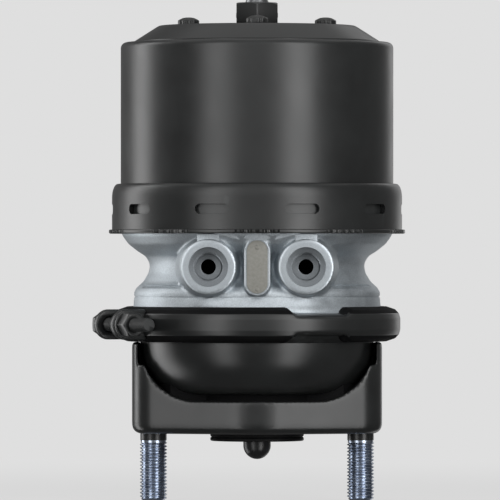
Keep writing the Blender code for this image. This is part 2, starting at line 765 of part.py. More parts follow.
def add_port(casting, name, side, cutters):
    """Tapered boss of one air port, with the pad that ties it to the rim."""
    root = facing_front(side * PORT_X, -PORT_ROOT_Y, PORT_Z)
    reach = PORT_FACE_Y - PORT_ROOT_Y
    boss = cone(name + "_boss", PORT_ROOT_R, PORT_FACE_R, reach, root, cutters, steps=MEDIUM_STEPS)
    join(casting, boss)
    low = (side * PORT_X - PAD_WIDTH / 2, -PORT_FACE_Y + GAP, PORT_Z)
    high = (side * PORT_X + PAD_WIDTH / 2, -PORT_ROOT_Y, FLANGE_Z - FLANGE_RIM - PAD_CLEARANCE)
    join(casting, block(name + "_pad", low, high, cutters))


def drill_port(casting, name, side, cutters):
    """Mouth, tapped bore and drilling of one port, and the duct to its chamber."""
    x = side * PORT_X
    thread_end = PORT_FACE_Y - PORT_THREAD_DEPTH
    profile = [(0.0, PORT_FACE_Y + GAP), (PORT_MOUTH_R, PORT_FACE_Y + GAP), (PORT_MOUTH_R, PORT_FACE_Y)]
    profile += [(PORT_THREAD_R, PORT_FACE_Y - PORT_MOUTH_DEPTH), (PORT_THREAD_R, thread_end)]
    profile += [(PORT_DRILL_R, thread_end), (PORT_DRILL_R, PORT_DRILL_Y), (0.0, PORT_DRILL_Y)]
    bore = turned(name + "_port_bore", profile, cutters, steps=SMALL_STEPS)
    bore.matrix_world = facing_front(x, 0.0, PORT_Z)
    cut(casting, bore)
    duct_y = -PORT_DRILL_Y - PORT_DRILL_R
    low, high = (ROOF_Z - GAP, PORT_Z) if side < 0 else (PORT_Z, RECESS_Z + GAP)
    place = Matrix.Translation((x, duct_y, low))
    duct = cone(name + "_duct", PORT_DRILL_R, PORT_DRILL_R, high - low, place, cutters, steps=HOLE_STEPS)
    cut(casting, duct)


def add_plate_boss(casting, cutters):
    """Obround boss between the ports, with a shallow seat for the plate."""
    depth = PLATE_BOSS_FACE_Y - PORT_ROOT_Y
    place = facing_front(0.0, -PLATE_BOSS_FACE_Y + depth / 2, PORT_Z)
    outline = obround(PLATE_BOSS_WIDTH, PLATE_BOSS_LENGTH)
    join(casting, prism("plate_boss", outline, depth, place, cutters))
    seat = obround(PLATE_WIDTH + 2 * GAP, PLATE_BOSS_LENGTH - PLATE_BOSS_WIDTH + PLATE_WIDTH + 2 * GAP)
    place = facing_front(0.0, -PLATE_BOSS_FACE_Y, PORT_Z)
    cut(casting, prism("plate_seat", seat, 2 * PLATE_RECESS, place, cutters))


def data_plate(where, finish):
    """Blank obround plate in its seat."""
    outline = obround(PLATE_WIDTH, PLATE_BOSS_LENGTH - PLATE_BOSS_WIDTH + PLATE_WIDTH)
    y = -PLATE_BOSS_FACE_Y + PLATE_RECESS - GAP - PLATE_SHEET / 2
    return prism("data_plate", outline, PLATE_SHEET, facing_front(0.0, y, PORT_Z), where, finish)


def spring_housing(where, finish):
    """Deep-drawn pot of the parking chamber, open at the top inside its rolled lip."""
    low = FLANGE_Z + GAP
    band_z = low + BAND_HEIGHT
    corner_r = SPRING_POT_R - SPRING_POT_CORNER_R
    corner_z = SPRING_POT_TOP_Z - SPRING_POT_CORNER_R
    profile = [(SPRING_POT_LIP_R, SPRING_POT_TOP_Z)]
    profile += arc(corner_r, corner_z, SPRING_POT_CORNER_R, 90, 0, EDGE_POINTS)
    profile += [(SPRING_POT_R, band_z + BAND_SHOULDER), (BAND_R, band_z), (BAND_R, low), (BORE_R, low)]
    lip_z = SPRING_POT_TOP_Z - SPRING_POT_WALL
    profile += [(BORE_R, lip_z), (SPRING_POT_LIP_R, lip_z)]
    return turned("spring_housing", profile, where, finish, ring=True)


def locking_ring(where, cutters, finish):
    """Ring over the pot's band, crimped under the casting's rim, with its row of slots."""
    inner = RING_R - RING_WALL
    top = FLANGE_Z + RING_RISE
    shoulder = top - RING_SHOULDER
    crimp_low = FLANGE_Z - FLANGE_RIM - GAP - CRIMP_LIP
    crimp_top = crimp_low + CRIMP_HEIGHT
    throat = SPRING_POT_R + GAP
    edge = throat + GAP
    profile = []
    for i in range(SHOULDER_STEPS + 1):
        a = math.pi / 2 * i / SHOULDER_STEPS
        profile.append((edge + (RING_R - edge) * math.sin(a), shoulder + RING_SHOULDER * math.cos(a)))
    profile += [(RING_R, crimp_top), (CRIMP_R, crimp_top - GAP), (CRIMP_R, crimp_low + GAP)]
    lip_z = crimp_low + CRIMP_LIP
    profile += [(CRIMP_R - GAP, crimp_low), (CRIMP_GRIP_R, crimp_low), (CRIMP_GRIP_R, lip_z), (inner, lip_z)]
    band_z = FLANGE_Z + GAP + BAND_HEIGHT
    profile += [(inner, band_z + GAP), (throat, band_z + BAND_SHOULDER + 2 * GAP), (throat, top)]
    made = turned("locking_ring", profile, where, finish, ring=True)
    cut(made, ring_of_slots(cutters))
    return made


def ring_of_slots(cutters):
    """One cutter that holds a bar for each slot of the locking ring."""
    outline = [(y, x) for x, y in reversed(obround(SLOT_HEIGHT, SLOT_LENGTH))]
    through = 3 * RING_WALL
    slots = bmesh.new()
    for k in range(SLOT_COUNT):
        angle = 2 * math.pi * (k + 0.5) / SLOT_COUNT
        place = about_z(angle) @ facing_front(0.0, -RING_R, FLANGE_Z + SLOT_RISE)
        tool = prism("slot", outline, through, place, cutters)
        tool.data.transform(tool.matrix_world)
        slots.from_mesh(tool.data)
        bpy.data.objects.remove(tool)
    mesh = bpy.data.meshes.new("slots")
    slots.to_mesh(mesh)
    slots.free()
    return put("slots", mesh, cutters)


def top_cover(where, cutters, finish):
    """Conical cover plate: the spring presses its rim up against the pot's lip."""
    rim_top = SPRING_POT_TOP_Z - SPRING_POT_WALL - GAP
    rim_low = rim_top - COVER_RIM
    neck_r = SPRING_POT_LIP_R - GAP
    rim_r = BORE_R - GAP
    edge_z = COVER_TOP_Z - COVER_EDGE_DROP
    hole_r = SPINDLE_R + GAP
    profile = [(hole_r, COVER_TOP_Z), (COVER_FLAT_R, COVER_TOP_Z), (COVER_EDGE_R, edge_z)]
    profile += [(neck_r, SPRING_POT_TOP_Z + GAP), (neck_r, rim_top), (rim_r, rim_top), (rim_r, rim_low)]
    profile += [(neck_r - COVER_WALL, rim_low), (COVER_FLAT_R - COVER_WALL / 2, COVER_ROOF_Z)]
    hub_low = COVER_ROOF_Z - COVER_HUB
    profile += [(COVER_HUB_R, COVER_ROOF_Z), (COVER_HUB_R, hub_low), (hole_r, hub_low)]
    made = turned("top_cover", profile, where, finish, ring=True)
    drill_screw_holes(made, "cover_hole", COVER_ROOF_Z, COVER_TOP_Z, cutters)
    return made


def drill_screw_holes(piece, name, low, high, cutters):
    """Clearance holes for the cover screws."""
    radius = SCREW_R + GAP
    off_facets = Matrix.Rotation(math.pi / (2 * HOLE_STEPS), 4, "Z")
    for k in range(SCREW_COUNT):
        turn = about_z(2 * math.pi * k / SCREW_COUNT)
        place = turn @ Matrix.Translation((0, -SCREW_CIRCLE_R, low - GAP)) @ off_facets
        cut(piece, cone(name, radius, radius, high - low + 2 * GAP, place, cutters, steps=HOLE_STEPS))


def upper_spring_seat(where, cutters, finish):
    """Pressed dish under the cover, held by the cover screws."""
    high = SEAT_Z + SEAT_SHEET
    profile = [(SEAT_R, high), (SEAT_R, SEAT_Z), (SEAT_BORE_R + SEAT_SHEET, SEAT_Z)]
    profile += [(SEAT_BORE_R + SEAT_SHEET, SEAT_Z - 2 * SEAT_SHEET), (SEAT_BORE_R, SEAT_Z - 2 * SEAT_SHEET)]
    profile += [(SEAT_BORE_R, high)]
    made = turned("upper_spring_seat", profile, where, finish, steps=MEDIUM_STEPS, ring=True)
    drill_screw_holes(made, "seat_hole", SEAT_Z, high, cutters)
    return made


def cover_screws(where, finish):
    """Domed screws in a circle on the cover."""
    low = COVER_TOP_Z + GAP
    high = low + SCREW_HEAD
    dome = SCREW_HEAD - SCREW_HEAD_EDGE
    dome_r = (SCREW_HEAD_R**2 + dome**2) / (2 * dome)
    slope = math.degrees(math.asin(SCREW_HEAD_R / dome_r))
    profile = arc(0.0, high - dome_r, dome_r, 90, 90 - slope, SHOULDER_STEPS + 1)
    tip_z = low - SCREW_LENGTH
    profile += [(SCREW_HEAD_R, low), (SCREW_R, low), (SCREW_R, tip_z), (0.0, tip_z)]
    for k, name in enumerate(("front", "right", "back", "left")):
        made = turned("cover_screw_" + name, profile, where, finish, steps=SMALL_STEPS)
        angle = 2 * math.pi * k / SCREW_COUNT
        made.location = (SCREW_CIRCLE_R * math.sin(angle), -SCREW_CIRCLE_R * math.cos(angle), 0.0)


def hex_piece(name, flats, low, high, bore_r, where, cutters, finish, place=Matrix.Identity(4)):
    """A hexagon prism with a round bore, from one height to another in its own frame."""
    middle = place @ Matrix.Translation((0, 0, (low + high) / 2))
    made = prism(name, hexagon(flats), high - low, middle, where, finish)
    half_facet = Matrix.Rotation(math.pi / MEDIUM_STEPS, 4, "Z")
    foot = place @ Matrix.Translation((0, 0, low - GAP)) @ half_facet
    cut(made, cone(name + "_bore", bore_r, bore_r, high - low + 2 * GAP, foot, cutters, steps=MEDIUM_STEPS))
    return made


def release_screw(where, cutters, steel, black, brass):
    """Spindle, its pinned hexagon, the washer under it and the nut at its foot."""
    hex_top = HEX_Z + HEX_HEIGHT
    end_z = hex_top + SPINDLE_END
    foot_z = SPINDLE_NUT_Z - SPINDLE_TAIL
    profile = [(0.0, end_z), (SPINDLE_TIP_R - PIN_R, end_z), (SPINDLE_TIP_R, end_z - PIN_R)]
    profile += [(SPINDLE_TIP_R, hex_top + SPINDLE_TAPER), (SPINDLE_END_R, hex_top)]
    profile += [(SPINDLE_R, hex_top - GAP), (SPINDLE_R, foot_z + GAP)]
    profile += [(SPINDLE_R - GAP, foot_z), (0.0, foot_z)]
    spindle = turned("release_spindle", profile, where, steel, steps=SMALL_STEPS)

    quarter = about_z(math.radians(90))
    bore_r = SPINDLE_R + GAP
    sizes = (HEX_FLATS, HEX_Z, hex_top, bore_r)
    hexagon_head = hex_piece("release_hex_nut", *sizes, where, cutters, black, quarter)
    length = HEX_FLATS + 2 * PIN_STAND
    start = Matrix.Translation((-length / 2, 0, HEX_Z + PIN_RISE))
    sideways = start @ Matrix.Rotation(math.radians(90), 4, "Y")
    cone("roll_pin", PIN_R, PIN_R, length, sideways, where, steel, steps=PIN_STEPS)
    longer = Matrix.Translation((-GAP, 0, 0)) @ sideways
    hole_r = PIN_R + GAP
    for piece in (spindle, hexagon_head):
        cut(piece, cone("pin_hole", hole_r, hole_r, length + 2 * GAP, longer, cutters, steps=HOLE_STEPS))

    washer = [(WASHER_R, WASHER_Z + WASHER_SHEET), (WASHER_R, WASHER_Z), (bore_r, WASHER_Z)]
    washer += [(bore_r, WASHER_Z + WASHER_SHEET)]
    turned("thrust_washer", washer, where, brass, steps=MEDIUM_STEPS, ring=True)
    nut_top = SPINDLE_NUT_Z + SPINDLE_NUT_HEIGHT
    hex_piece("spindle_nut", SPINDLE_NUT_FLATS, SPINDLE_NUT_Z, nut_top, bore_r, where, cutters, steel)


def parking_piston(where, cutters, finish):
    """Piston with a deep pocket for the spring and grooves for its seal and guide ring."""
    guide_low = GUIDE_GROOVE_Z
    guide_high = guide_low + GUIDE_RING_HEIGHT + 2 * GAP
    guide_r = PISTON_R - GUIDE_RING_DEPTH
    seal_low = SEAL_GROOVE_Z
    seal_high = seal_low + PISTON_SEAL_HEIGHT + 2 * GAP
    seal_r = PISTON_R - PISTON_SEAL_DEPTH
    wall_r = PISTON_POCKET_R + PISTON_WALL
    hole_r = SPINDLE_R + PISTON_HOLE_CLEARANCE
    socket_r = TUBE_R + GAP
    socket_z = PISTON_Z + TUBE_SOCKET + GAP
    hub_z = PISTON_FLOOR_Z + PISTON_HUB
    profile = [(wall_r, PISTON_TOP_Z), (PISTON_R, PISTON_TOP_Z)]
    profile += [(PISTON_R, guide_high), (guide_r, guide_high), (guide_r, guide_low), (PISTON_R, guide_low)]
    profile += [(PISTON_R, seal_high), (seal_r, seal_high), (seal_r, seal_low), (PISTON_R, seal_low)]
    profile += [(PISTON_R, PISTON_RIM_Z), (wall_r, PISTON_RIM_Z)]
    profile += [(wall_r - PISTON_WALL / 2, PISTON_Z), (socket_r, PISTON_Z), (socket_r, socket_z)]
    profile += [(hole_r, socket_z), (hole_r, hub_z), (PISTON_HUB_R - PISTON_WALL, hub_z)]
    profile += [(PISTON_HUB_R, PISTON_FLOOR_Z)]
    profile += [(PISTON_POCKET_R, PISTON_FLOOR_Z), (PISTON_POCKET_R, PISTON_RIM_Z)]
    made = turned("parking_piston", profile, where, finish, ring=True)
    place = Matrix.Translation((VALVE_CIRCLE_R, 0, PISTON_Z - GAP))
    hole_r = VALVE_R + GAP
    cut(made, cone("valve_hole", hole_r, hole_r, PISTON_WALL + 2 * GAP, place, cutters, steps=HOLE_STEPS))
    return made


def breather_valve(where, finish):
    """Valve in the piston's floor, with its head on the floor's upper side."""
    seat = PISTON_FLOOR_Z + GAP
    top = seat + VALVE_HEAD
    profile = [(0.0, top), (VALVE_R, top), (VALVE_HEAD_R, seat + VALVE_HEAD / 2), (VALVE_HEAD_R, seat)]
    profile += [(VALVE_R, seat), (VALVE_R, PISTON_Z), (0.0, PISTON_Z)]
    made = turned("breather_valve", profile, where, finish, steps=PIN_STEPS)
    made.location.x = VALVE_CIRCLE_R
    return made


def piston_rings(where, rubber, plastic):
    """Seal and guide ring in the piston's grooves."""
    outer = BORE_R - GAP
    low = SEAL_GROOVE_Z + GAP
    high = low + PISTON_SEAL_HEIGHT
    inner = PISTON_R - PISTON_SEAL_DEPTH + GAP
    lip = PISTON_SEAL_HEIGHT / 3
    seal = [(outer - GAP, high), (outer - 2 * GAP, high - lip), (outer, low + lip / 2), (outer - GAP, low)]
    seal += [(inner, low), (inner, high)]
    turned("piston_seal", seal, where, rubber, ring=True)
    low = GUIDE_GROOVE_Z + GAP
    high = low + GUIDE_RING_HEIGHT
    inner = PISTON_R - GUIDE_RING_DEPTH + GAP
    guide = [(outer, high), (outer, low), (inner, low), (inner, high)]
    turned("piston_guide_ring", guide, where, plastic, ring=True)


def tube_pieces(where, steel, rubber, plastic):
    """Tube that the piston pushes, its end plug, and its seal and bush in the casting."""
    top = PISTON_Z + TUBE_SOCKET
    tube = [(TUBE_R, top), (TUBE_R, TUBE_END_Z), (TUBE_BORE_R, TUBE_END_Z), (TUBE_BORE_R, top)]
    turned("piston_tube", tube, where, steel, steps=MEDIUM_STEPS, ring=True)
    low = ROOF_Z
    plug_r = TUBE_BORE_R - GAP
    plug = [(0.0, TUBE_END_Z + PLUG_SPIGOT), (plug_r, TUBE_END_Z + PLUG_SPIGOT), (plug_r, TUBE_END_Z - GAP)]
    plug += [(TUBE_R, TUBE_END_Z - GAP), (TUBE_R, low + 2 * GAP), (TUBE_R - GAP, low), (0.0, low)]
    turned("tube_end_plug", plug, where, steel, steps=MEDIUM_STEPS)
    inner = TUBE_R + GAP
    outer = TUBE_SEAL_R
    bush_top = RECESS_Z - GAP
    bush_low = bush_top - TUBE_BUSH_HEIGHT
    bush = [(outer, bush_top), (outer, bush_low), (inner, bush_low), (inner, bush_top)]
    turned("tube_guide_bush", bush, where, plastic, steps=MEDIUM_STEPS, ring=True)
    seal_top = bush_low - GAP
    seal_low = seal_top - TUBE_SEAL_HEIGHT
    middle = (inner + outer) / 2
    seal = [(outer, seal_top), (outer, seal_low), (inner, seal_low), (inner + GAP, seal_top - 2 * GAP)]
    seal += [(middle, seal_top - TUBE_SEAL_NOTCH), (outer - 2 * GAP, seal_top)]
    turned("tube_seal", seal, where, rubber, steps=MEDIUM_STEPS, ring=True)


def housing_o_ring(where, finish):
    """O-ring in the casting's groove."""
    centre_r = SPIGOT_R - O_RING_SECTION_R
    centre_z = FLANGE_Z + O_RING_LAND + GAP + O_RING_SECTION_R
    profile = arc(centre_r, centre_z, O_RING_SECTION_R, 90, -210, CORNER_POINTS)
    return turned("housing_o_ring", profile, where, finish, ring=True)


def clamp_frame():
    """The clamp bolt's frame: x outwards from the cylinder, y along the bolt towards its nut, z up."""
    turn = about_z(CLAMP_SEAM_ANGLE) @ Matrix.Rotation(math.radians(-90), 4, "Z")
    return Matrix.Translation((0, 0, JOINT_Z)) @ turn


def clamp_ring(where, cutters, finish):
    """V section ring round both rims, with its seam, two ears and two relief cuts."""
    half = CLAMP_HEIGHT / 2
    face = CLAMP_FACE / 2
    rim_reach = DIAPHRAGM_BEAD / 2 + GAP + RIM_EDGE
    floor_r = RIM_R + GAP
    # The clearance to both wedge faces is measured square to them.
    wall = rim_reach + GAP * math.hypot(1, WEDGE) - GAP * WEDGE
    throat = wall + (floor_r - CLAMP_THROAT_R) * WEDGE
    upper = [(CLAMP_THROAT_R, half), (CLAMP_LIP_R, half), (CLAMP_R - CLAMP_CORNER, half - CLAMP_CORNER_DROP)]
    upper += [(CLAMP_R - CLAMP_CHEEK, half - CLAMP_CHEEK_DROP), (CLAMP_R, face)]
    lower = [(r, -z) for r, z in reversed(upper)]
    inner = [(CLAMP_THROAT_R, -throat), (floor_r, -wall), (floor_r, wall), (CLAMP_THROAT_R, throat)]
    profile = [(r, JOINT_Z + z) for r, z in upper + lower + inner]
    made = turned("clamp_ring", profile, where, finish, ring=True)

    frame = clamp_frame()
    low = (POT_R, -CLAMP_SEAM_GAP / 2, -CLAMP_HEIGHT)
    high = (CLAMP_R + GAP, CLAMP_SEAM_GAP / 2, CLAMP_HEIGHT)
    cut(made, block("clamp_seam", low, high, cutters, frame))
    for name, side in (("rear_ear", -1), ("front_ear", 1)):
        add_ear(made, name, side, frame, cutters)
    for name, side in (("upper_relief", 1), ("lower_relief", -1)):
        cut_relief(made, name, side, cutters)
    return made


def add_ear(ring, name, side, frame, cutters):
    """Rounded ear that stands out from the ring beside its seam, with the bolt's hole."""
    root = CLAMP_R - (CLAMP_R - RIM_R) / 2
    steps = SMALL_STEPS // 2
    ends = [-math.pi / 2 + math.pi * i / steps for i in range(steps + 1)]
    outline = [(EAR_AXIS_R + EAR_R * math.cos(a), EAR_R * math.sin(a)) for a in ends]
    outline += [(root, EAR_R), (root, -EAR_R)]
    across = side * (EAR_SPACING + EAR_THICKNESS) / 2
    upright = Matrix.Rotation(math.radians(90), 4, "X")
    place = frame @ Matrix.Translation((0, across, 0)) @ upright
    join(ring, prism(name, outline, EAR_THICKNESS, place, cutters))
    hole = frame @ Matrix.Translation((EAR_AXIS_R, across + EAR_THICKNESS, 0)) @ upright
    cut(ring, cone(name + "_hole", BOLT_R + GAP, BOLT_R + GAP, 2 * EAR_THICKNESS, hole, cutters))


def cut_relief(ring, name, side, cutters):
    """Shallow cut in one edge of the ring, with a ramp at one end."""
    half = RELIEF_WIDTH / 2
    floor = CLAMP_HEIGHT / 2 - RELIEF_DEPTH
    top = CLAMP_HEIGHT / 2 + GAP
    outline = [(-half, top), (-half + RELIEF_RAMP, floor), (half, floor), (half, top)]
    outline = [(x, side * z) for x, z in outline]
    depth = 2 * (CLAMP_R - CLAMP_THROAT_R)
    place = about_z(RELIEF_ANGLE) @ facing_front(0.0, -CLAMP_R + (CLAMP_R - CLAMP_THROAT_R) / 2, JOINT_Z)
    cut(ring, prism(name, outline, depth, place, cutters))


def clamp_fasteners(where, cutters, finish):
    """Bolt, washer and nut through the ears of the clamp ring."""
    along_bolt = Matrix.Rotation(math.radians(-90), 4, "X")
    axis = clamp_frame() @ Matrix.Translation((EAR_AXIS_R, 0, 0)) @ along_bolt
    outside = EAR_SPACING / 2 + EAR_THICKNESS + GAP
    washer_end = outside + BOLT_WASHER_SHEET
    nut_low = washer_end + GAP
    nut_high = nut_low + NUT_HEIGHT
    end = nut_high + BOLT_END
    flat_up = Matrix.Rotation(HALF_CORNER, 4, "Z")
    head_z = -outside - BOLT_HEAD / 2
    head_place = axis @ Matrix.Translation((0, 0, head_z)) @ flat_up
    bolt = prism("clamp_bolt", hexagon(BOLT_FLATS), BOLT_HEAD, head_place, where, finish)
    shank = [(0.0, end), (BOLT_R - GAP, end), (BOLT_R, end - GAP), (BOLT_R, head_z), (0.0, head_z)]
    shaft = turned("bolt_shank", shank, cutters, steps=SMALL_STEPS)
    shaft.matrix_world = axis
    join(bolt, shaft)
    bore_r = BOLT_R + GAP
    washer = [(BOLT_WASHER_R, washer_end), (BOLT_WASHER_R, outside), (bore_r, outside), (bore_r, washer_end)]
    made = turned("clamp_washer", washer, where, finish, steps=MEDIUM_STEPS, ring=True)
    made.matrix_world = axis
    hex_piece("clamp_nut", BOLT_FLATS, nut_low, nut_high, bore_r, where, cutters, finish, axis @ flat_up)


def realise(where):
    """Gives each piece its evaluated mesh, shaded smooth between its sharp edges, with no modifiers."""
    bpy.context.view_layer.update()
    graph = bpy.context.evaluated_depsgraph_get()
    finished = {}
    for piece in where.objects:
        finished[piece] = bpy.data.meshes.new_from_object(piece.evaluated_get(graph))
    for piece, mesh in finished.items():
        shape = bmesh.new()
        shape.from_mesh(mesh)
        bmesh.ops.remove_doubles(shape, verts=shape.verts, dist=WELD)
        shape.to_mesh(mesh)
        shape.free()
        piece.modifiers.clear()
        piece.data = mesh
        mesh.shade_smooth()
        mesh.set_sharp_from_angle(angle=SHARP_ANGLE)


def main():
    for old in list(bpy.data.objects):
        bpy.data.objects.remove(old)
    cylinder = collection("combination_brake_cylinder")
    cutters = collection("cutters")

    black_steel = material("black_painted_steel", (0.019, 0.019, 0.019), 0.0, 0.35)
    cast = material("cast_aluminium", (0.45, 0.48, 0.51), 1.0, 0.45)
    zinc = material("zinc_plated_steel", (0.42, 0.47, 0.56), 1.0, 0.3)
    steel = material("bare_steel", (0.35, 0.35, 0.36), 1.0, 0.35)
    rubber = material("black_rubber", (0.012, 0.012, 0.012), 0.0, 0.7)
    plastic = material("guide_plastic", (0.55, 0.52, 0.42), 0.0, 0.5)
    brass = material("brass_sheet", (0.62, 0.4, 0.16), 1.0, 0.3)
    blank = material("blank_label_plate", (0.29, 0.28, 0.26), 0.0, 0.5)
    spring_steel = material("painted_spring_steel", (0.05, 0.05, 0.055), 0.3, 0.45)

    service_housing(cylinder, cutters, black_steel)
    stud("stud_left", -1, cylinder, zinc)
    stud("stud_right", 1, cylinder, zinc)
    mounting_seal(cylinder, rubber)
    push_rod(cylinder, steel)
    pressure_plate(cylinder, steel)
    rod_boot(cylinder, rubber)
    boot_ring(cylinder, steel)
    return_spring(cylinder, spring_steel)
    diaphragm(cylinder, rubber)
    flange_housing(cylinder, cutters, cast)
    data_plate(cylinder, blank)
    housing_o_ring(cylinder, rubber)
    spring_housing(cylinder, black_steel)
    locking_ring(cylinder, cutters, black_steel)
    top_cover(cylinder, cutters, black_steel)
    upper_spring_seat(cylinder, cutters, steel)
    cover_screws(cylinder, black_steel)
    release_screw(cylinder, cutters, steel, black_steel, brass)
    parking_piston(cylinder, cutters, cast)
    breather_valve(cylinder, plastic)
    piston_rings(cylinder, rubber, plastic)
    tube_pieces(cylinder, steel, rubber, plastic)
    power_spring(cylinder, spring_steel)
    clamp_ring(cylinder, cutters, black_steel)
    clamp_fasteners(cylinder, cutters, black_steel)
    realise(cylinder)


main()
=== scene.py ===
"""Studio scene of a combination brake cylinder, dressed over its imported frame.

The frame and every object are in metres. The sizes in the classes are millimetres, in the frame's own axes:
+Z runs up the cylinder to the release screw, and the two air ports face -Y.
"""

import logging
import math
from dataclasses import dataclass, field, replace
from enum import Enum
from typing import Callable, Iterable, Sequence

import bmesh
import bpy
import numpy as np
from mathutils import Matrix, Vector


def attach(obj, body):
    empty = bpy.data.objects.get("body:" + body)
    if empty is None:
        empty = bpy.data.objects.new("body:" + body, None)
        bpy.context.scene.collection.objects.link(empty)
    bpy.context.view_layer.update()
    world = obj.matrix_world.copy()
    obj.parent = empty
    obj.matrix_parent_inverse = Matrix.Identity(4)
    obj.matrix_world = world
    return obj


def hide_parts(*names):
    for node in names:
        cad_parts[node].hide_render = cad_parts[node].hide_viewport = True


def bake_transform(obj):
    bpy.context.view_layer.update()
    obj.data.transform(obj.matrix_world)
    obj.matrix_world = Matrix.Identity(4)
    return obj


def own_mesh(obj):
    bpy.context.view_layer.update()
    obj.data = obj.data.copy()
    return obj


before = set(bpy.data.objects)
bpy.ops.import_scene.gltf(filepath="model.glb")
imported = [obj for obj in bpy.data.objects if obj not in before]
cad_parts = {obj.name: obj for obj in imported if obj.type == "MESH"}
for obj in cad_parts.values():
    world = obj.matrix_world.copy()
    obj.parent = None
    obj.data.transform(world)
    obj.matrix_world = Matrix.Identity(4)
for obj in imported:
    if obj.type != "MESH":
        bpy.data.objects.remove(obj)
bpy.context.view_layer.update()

LOG = logging.getLogger("brake_cylinder")
MM = 0.001
FULL_TURN = 2 * math.pi
FRONT = -math.pi / 2
WELD = 1e-7

# Millimetres: the clearance between neighbouring pieces, and how far a cutting tool stands past what it cuts.
GAP = 0.3
PAST = 1.0
FAR = 90.0

# The rise of the joint's sloping flanks over their run, which the clamp's V grips.
V_SLOPE = math.tan(math.radians(33))

Face = tuple[int, ...]
Point = tuple[float, float]
Corner = Sequence[float]
Row = tuple[float | np.ndarray, float | np.ndarray]
Wave = Callable[[np.ndarray, float, np.ndarray], np.ndarray]
Picker = Callable[[np.ndarray], np.ndarray]


class Body(Enum):
    """The moving bodies of the frame."""

    ROOT = "root"
    PISTON = "parking_piston"
    ROD = "push_rod"
    SPINDLE = "release_spindle"


class Solver(Enum):
    """The two ways to work out a Boolean."""

    EXACT = "EXACT"
    MANIFOLD = "MANIFOLD"


@dataclass
class Surface:
    """Points in millimetres, and the faces between them."""

    points: np.ndarray
    faces: list[Face]

    def placed(self, matrix: Matrix) -> "Surface":
        """Moves the surface.

        Args:
            matrix: a turn, with a shift in millimetres.

        Returns:
            The moved copy.
        """
        rows = np.array(matrix)
        return Surface(self.points @ rows[:3, :3].T + rows[:3, 3], self.faces)

    def shifted(self, x: float = 0.0, y: float = 0.0, z: float = 0.0) -> "Surface":
        """Returns a copy moved by these millimetres."""
        return self.placed(Matrix.Translation((x, y, z)))


def joined(surfaces: Iterable[Surface]) -> Surface:
    """Puts several surfaces into one, each still a shell of its own.

    Args:
        surfaces: the surfaces to put together.

    Returns:
        One surface that holds them all.
    """
    points: list[np.ndarray] = []
    faces: list[Face] = []
    count = 0
    for surface in surfaces:
        points.append(surface.points)
        faces.extend(tuple(i + count for i in face) for face in surface.faces)
        count += len(surface.points)
    return Surface(np.vstack(points), faces)


def arc(middle: Point, radii: Point, start: float, end: float, count: int) -> list[Point]:
    """Draws part of an ellipse.

    Args:
        middle: its middle.
        radii: its radius along each axis. A negative one mirrors it.
        start: the angle where it starts, in degrees.
        end: the angle where it ends.
        count: how many points it takes.

    Returns:
        The points.
    """
    turns = np.radians(np.linspace(start, end, count))
    return [(middle[0] + radii[0] * math.cos(a), middle[1] + radii[1] * math.sin(a)) for a in turns]


def rounded(corners: Sequence[Corner], closed: bool = True, points: int = 6) -> list[Point]:
    """Rounds the corners of a profile.

    Args:
        corners: the radius and the height of each corner, and its fillet if it has one.
        closed: whether the last corner joins the first.
        points: how many steps each fillet takes.

    Returns:
        The profile's points.
    """
    profile: list[Point] = []
    count = len(corners)
    places = [np.array(corner[:2], dtype=float) for corner in corners]
    for i, (here, corner) in enumerate(zip(places, corners)):
        fillet = corner[2] if len(corner) > 2 else 0.0
        if fillet <= 0 or (not closed and i in (0, count - 1)):
            profile.append((float(here[0]), float(here[1])))
            continue
        before, after = places[i - 1] - here, places[(i + 1) % count] - here
        room = 0.49 * min(np.linalg.norm(before), np.linalg.norm(after))
        before /= np.linalg.norm(before)
        after /= np.linalg.norm(after)
        half = math.acos(float(np.clip(before @ after, -1, 1))) / 2
        reach = min(fillet / math.tan(half), room)
        middle = before + after
        centre = here + middle / np.linalg.norm(middle) * reach * math.tan(half) / math.sin(half)
        start, end = here + before * reach - centre, here + after * reach - centre
        turn = math.pi - 2 * half
        for share in np.arange(points + 1) / points:
            mixed = math.sin((1 - share) * turn) * start + math.sin(share * turn) * end
            r, z = centre + mixed / math.sin(turn)
            profile.append((float(r), float(z)))
    return profile


def bands(rows: int, size: int, closed: bool = False) -> list[Face]:
    """Lists the faces between rows of points, where each row runs round.

    Args:
        rows: how many rows there are.
        size: how many points each has.
        closed: whether the last row joins the first.

    Returns:
        The faces.
    """
    faces: list[Face] = []
    for i in range(rows if closed else rows - 1):
        low, high = i * size, (i + 1) % rows * size
        faces += [(low + j, low + (j + 1) % size, high + (j + 1) % size, high + j) for j in range(size)]
    return faces


def lofted(rows: Sequence[np.ndarray]) -> Surface:
    """Joins outlines to a solid.

    Args:
        rows: the points of each outline, all with the same count.

    Returns:
        The closed solid.
    """
    size = len(rows[0])
    last = (len(rows) - 1) * size
    ends: list[Face] = [tuple(reversed(range(size))), tuple(range(last, last + size))]
    return Surface(np.vstack(rows), ends + bands(len(rows), size))


def around(steps: int) -> np.ndarray:
    """Returns even angles round a circle, in radians."""
    return np.arange(steps) * FULL_TURN / steps


def lathe(rows: Sequence[Row], steps: int, closed: bool = True) -> Surface:
    """Joins rows of points round the Z axis.

    Args:
        rows: the radius and the height of each row, as a number or at each angle.
        steps: how many points go round.
        closed: whether the last row joins the first.

    Returns:
        The surface through the rows.
    """
    turn = around(steps)
    points = [np.stack([r * np.cos(turn), r * np.sin(turn), z + 0 * turn], axis=1) for r, z in rows]
    return Surface(np.vstack(points), bands(len(rows), steps, closed))


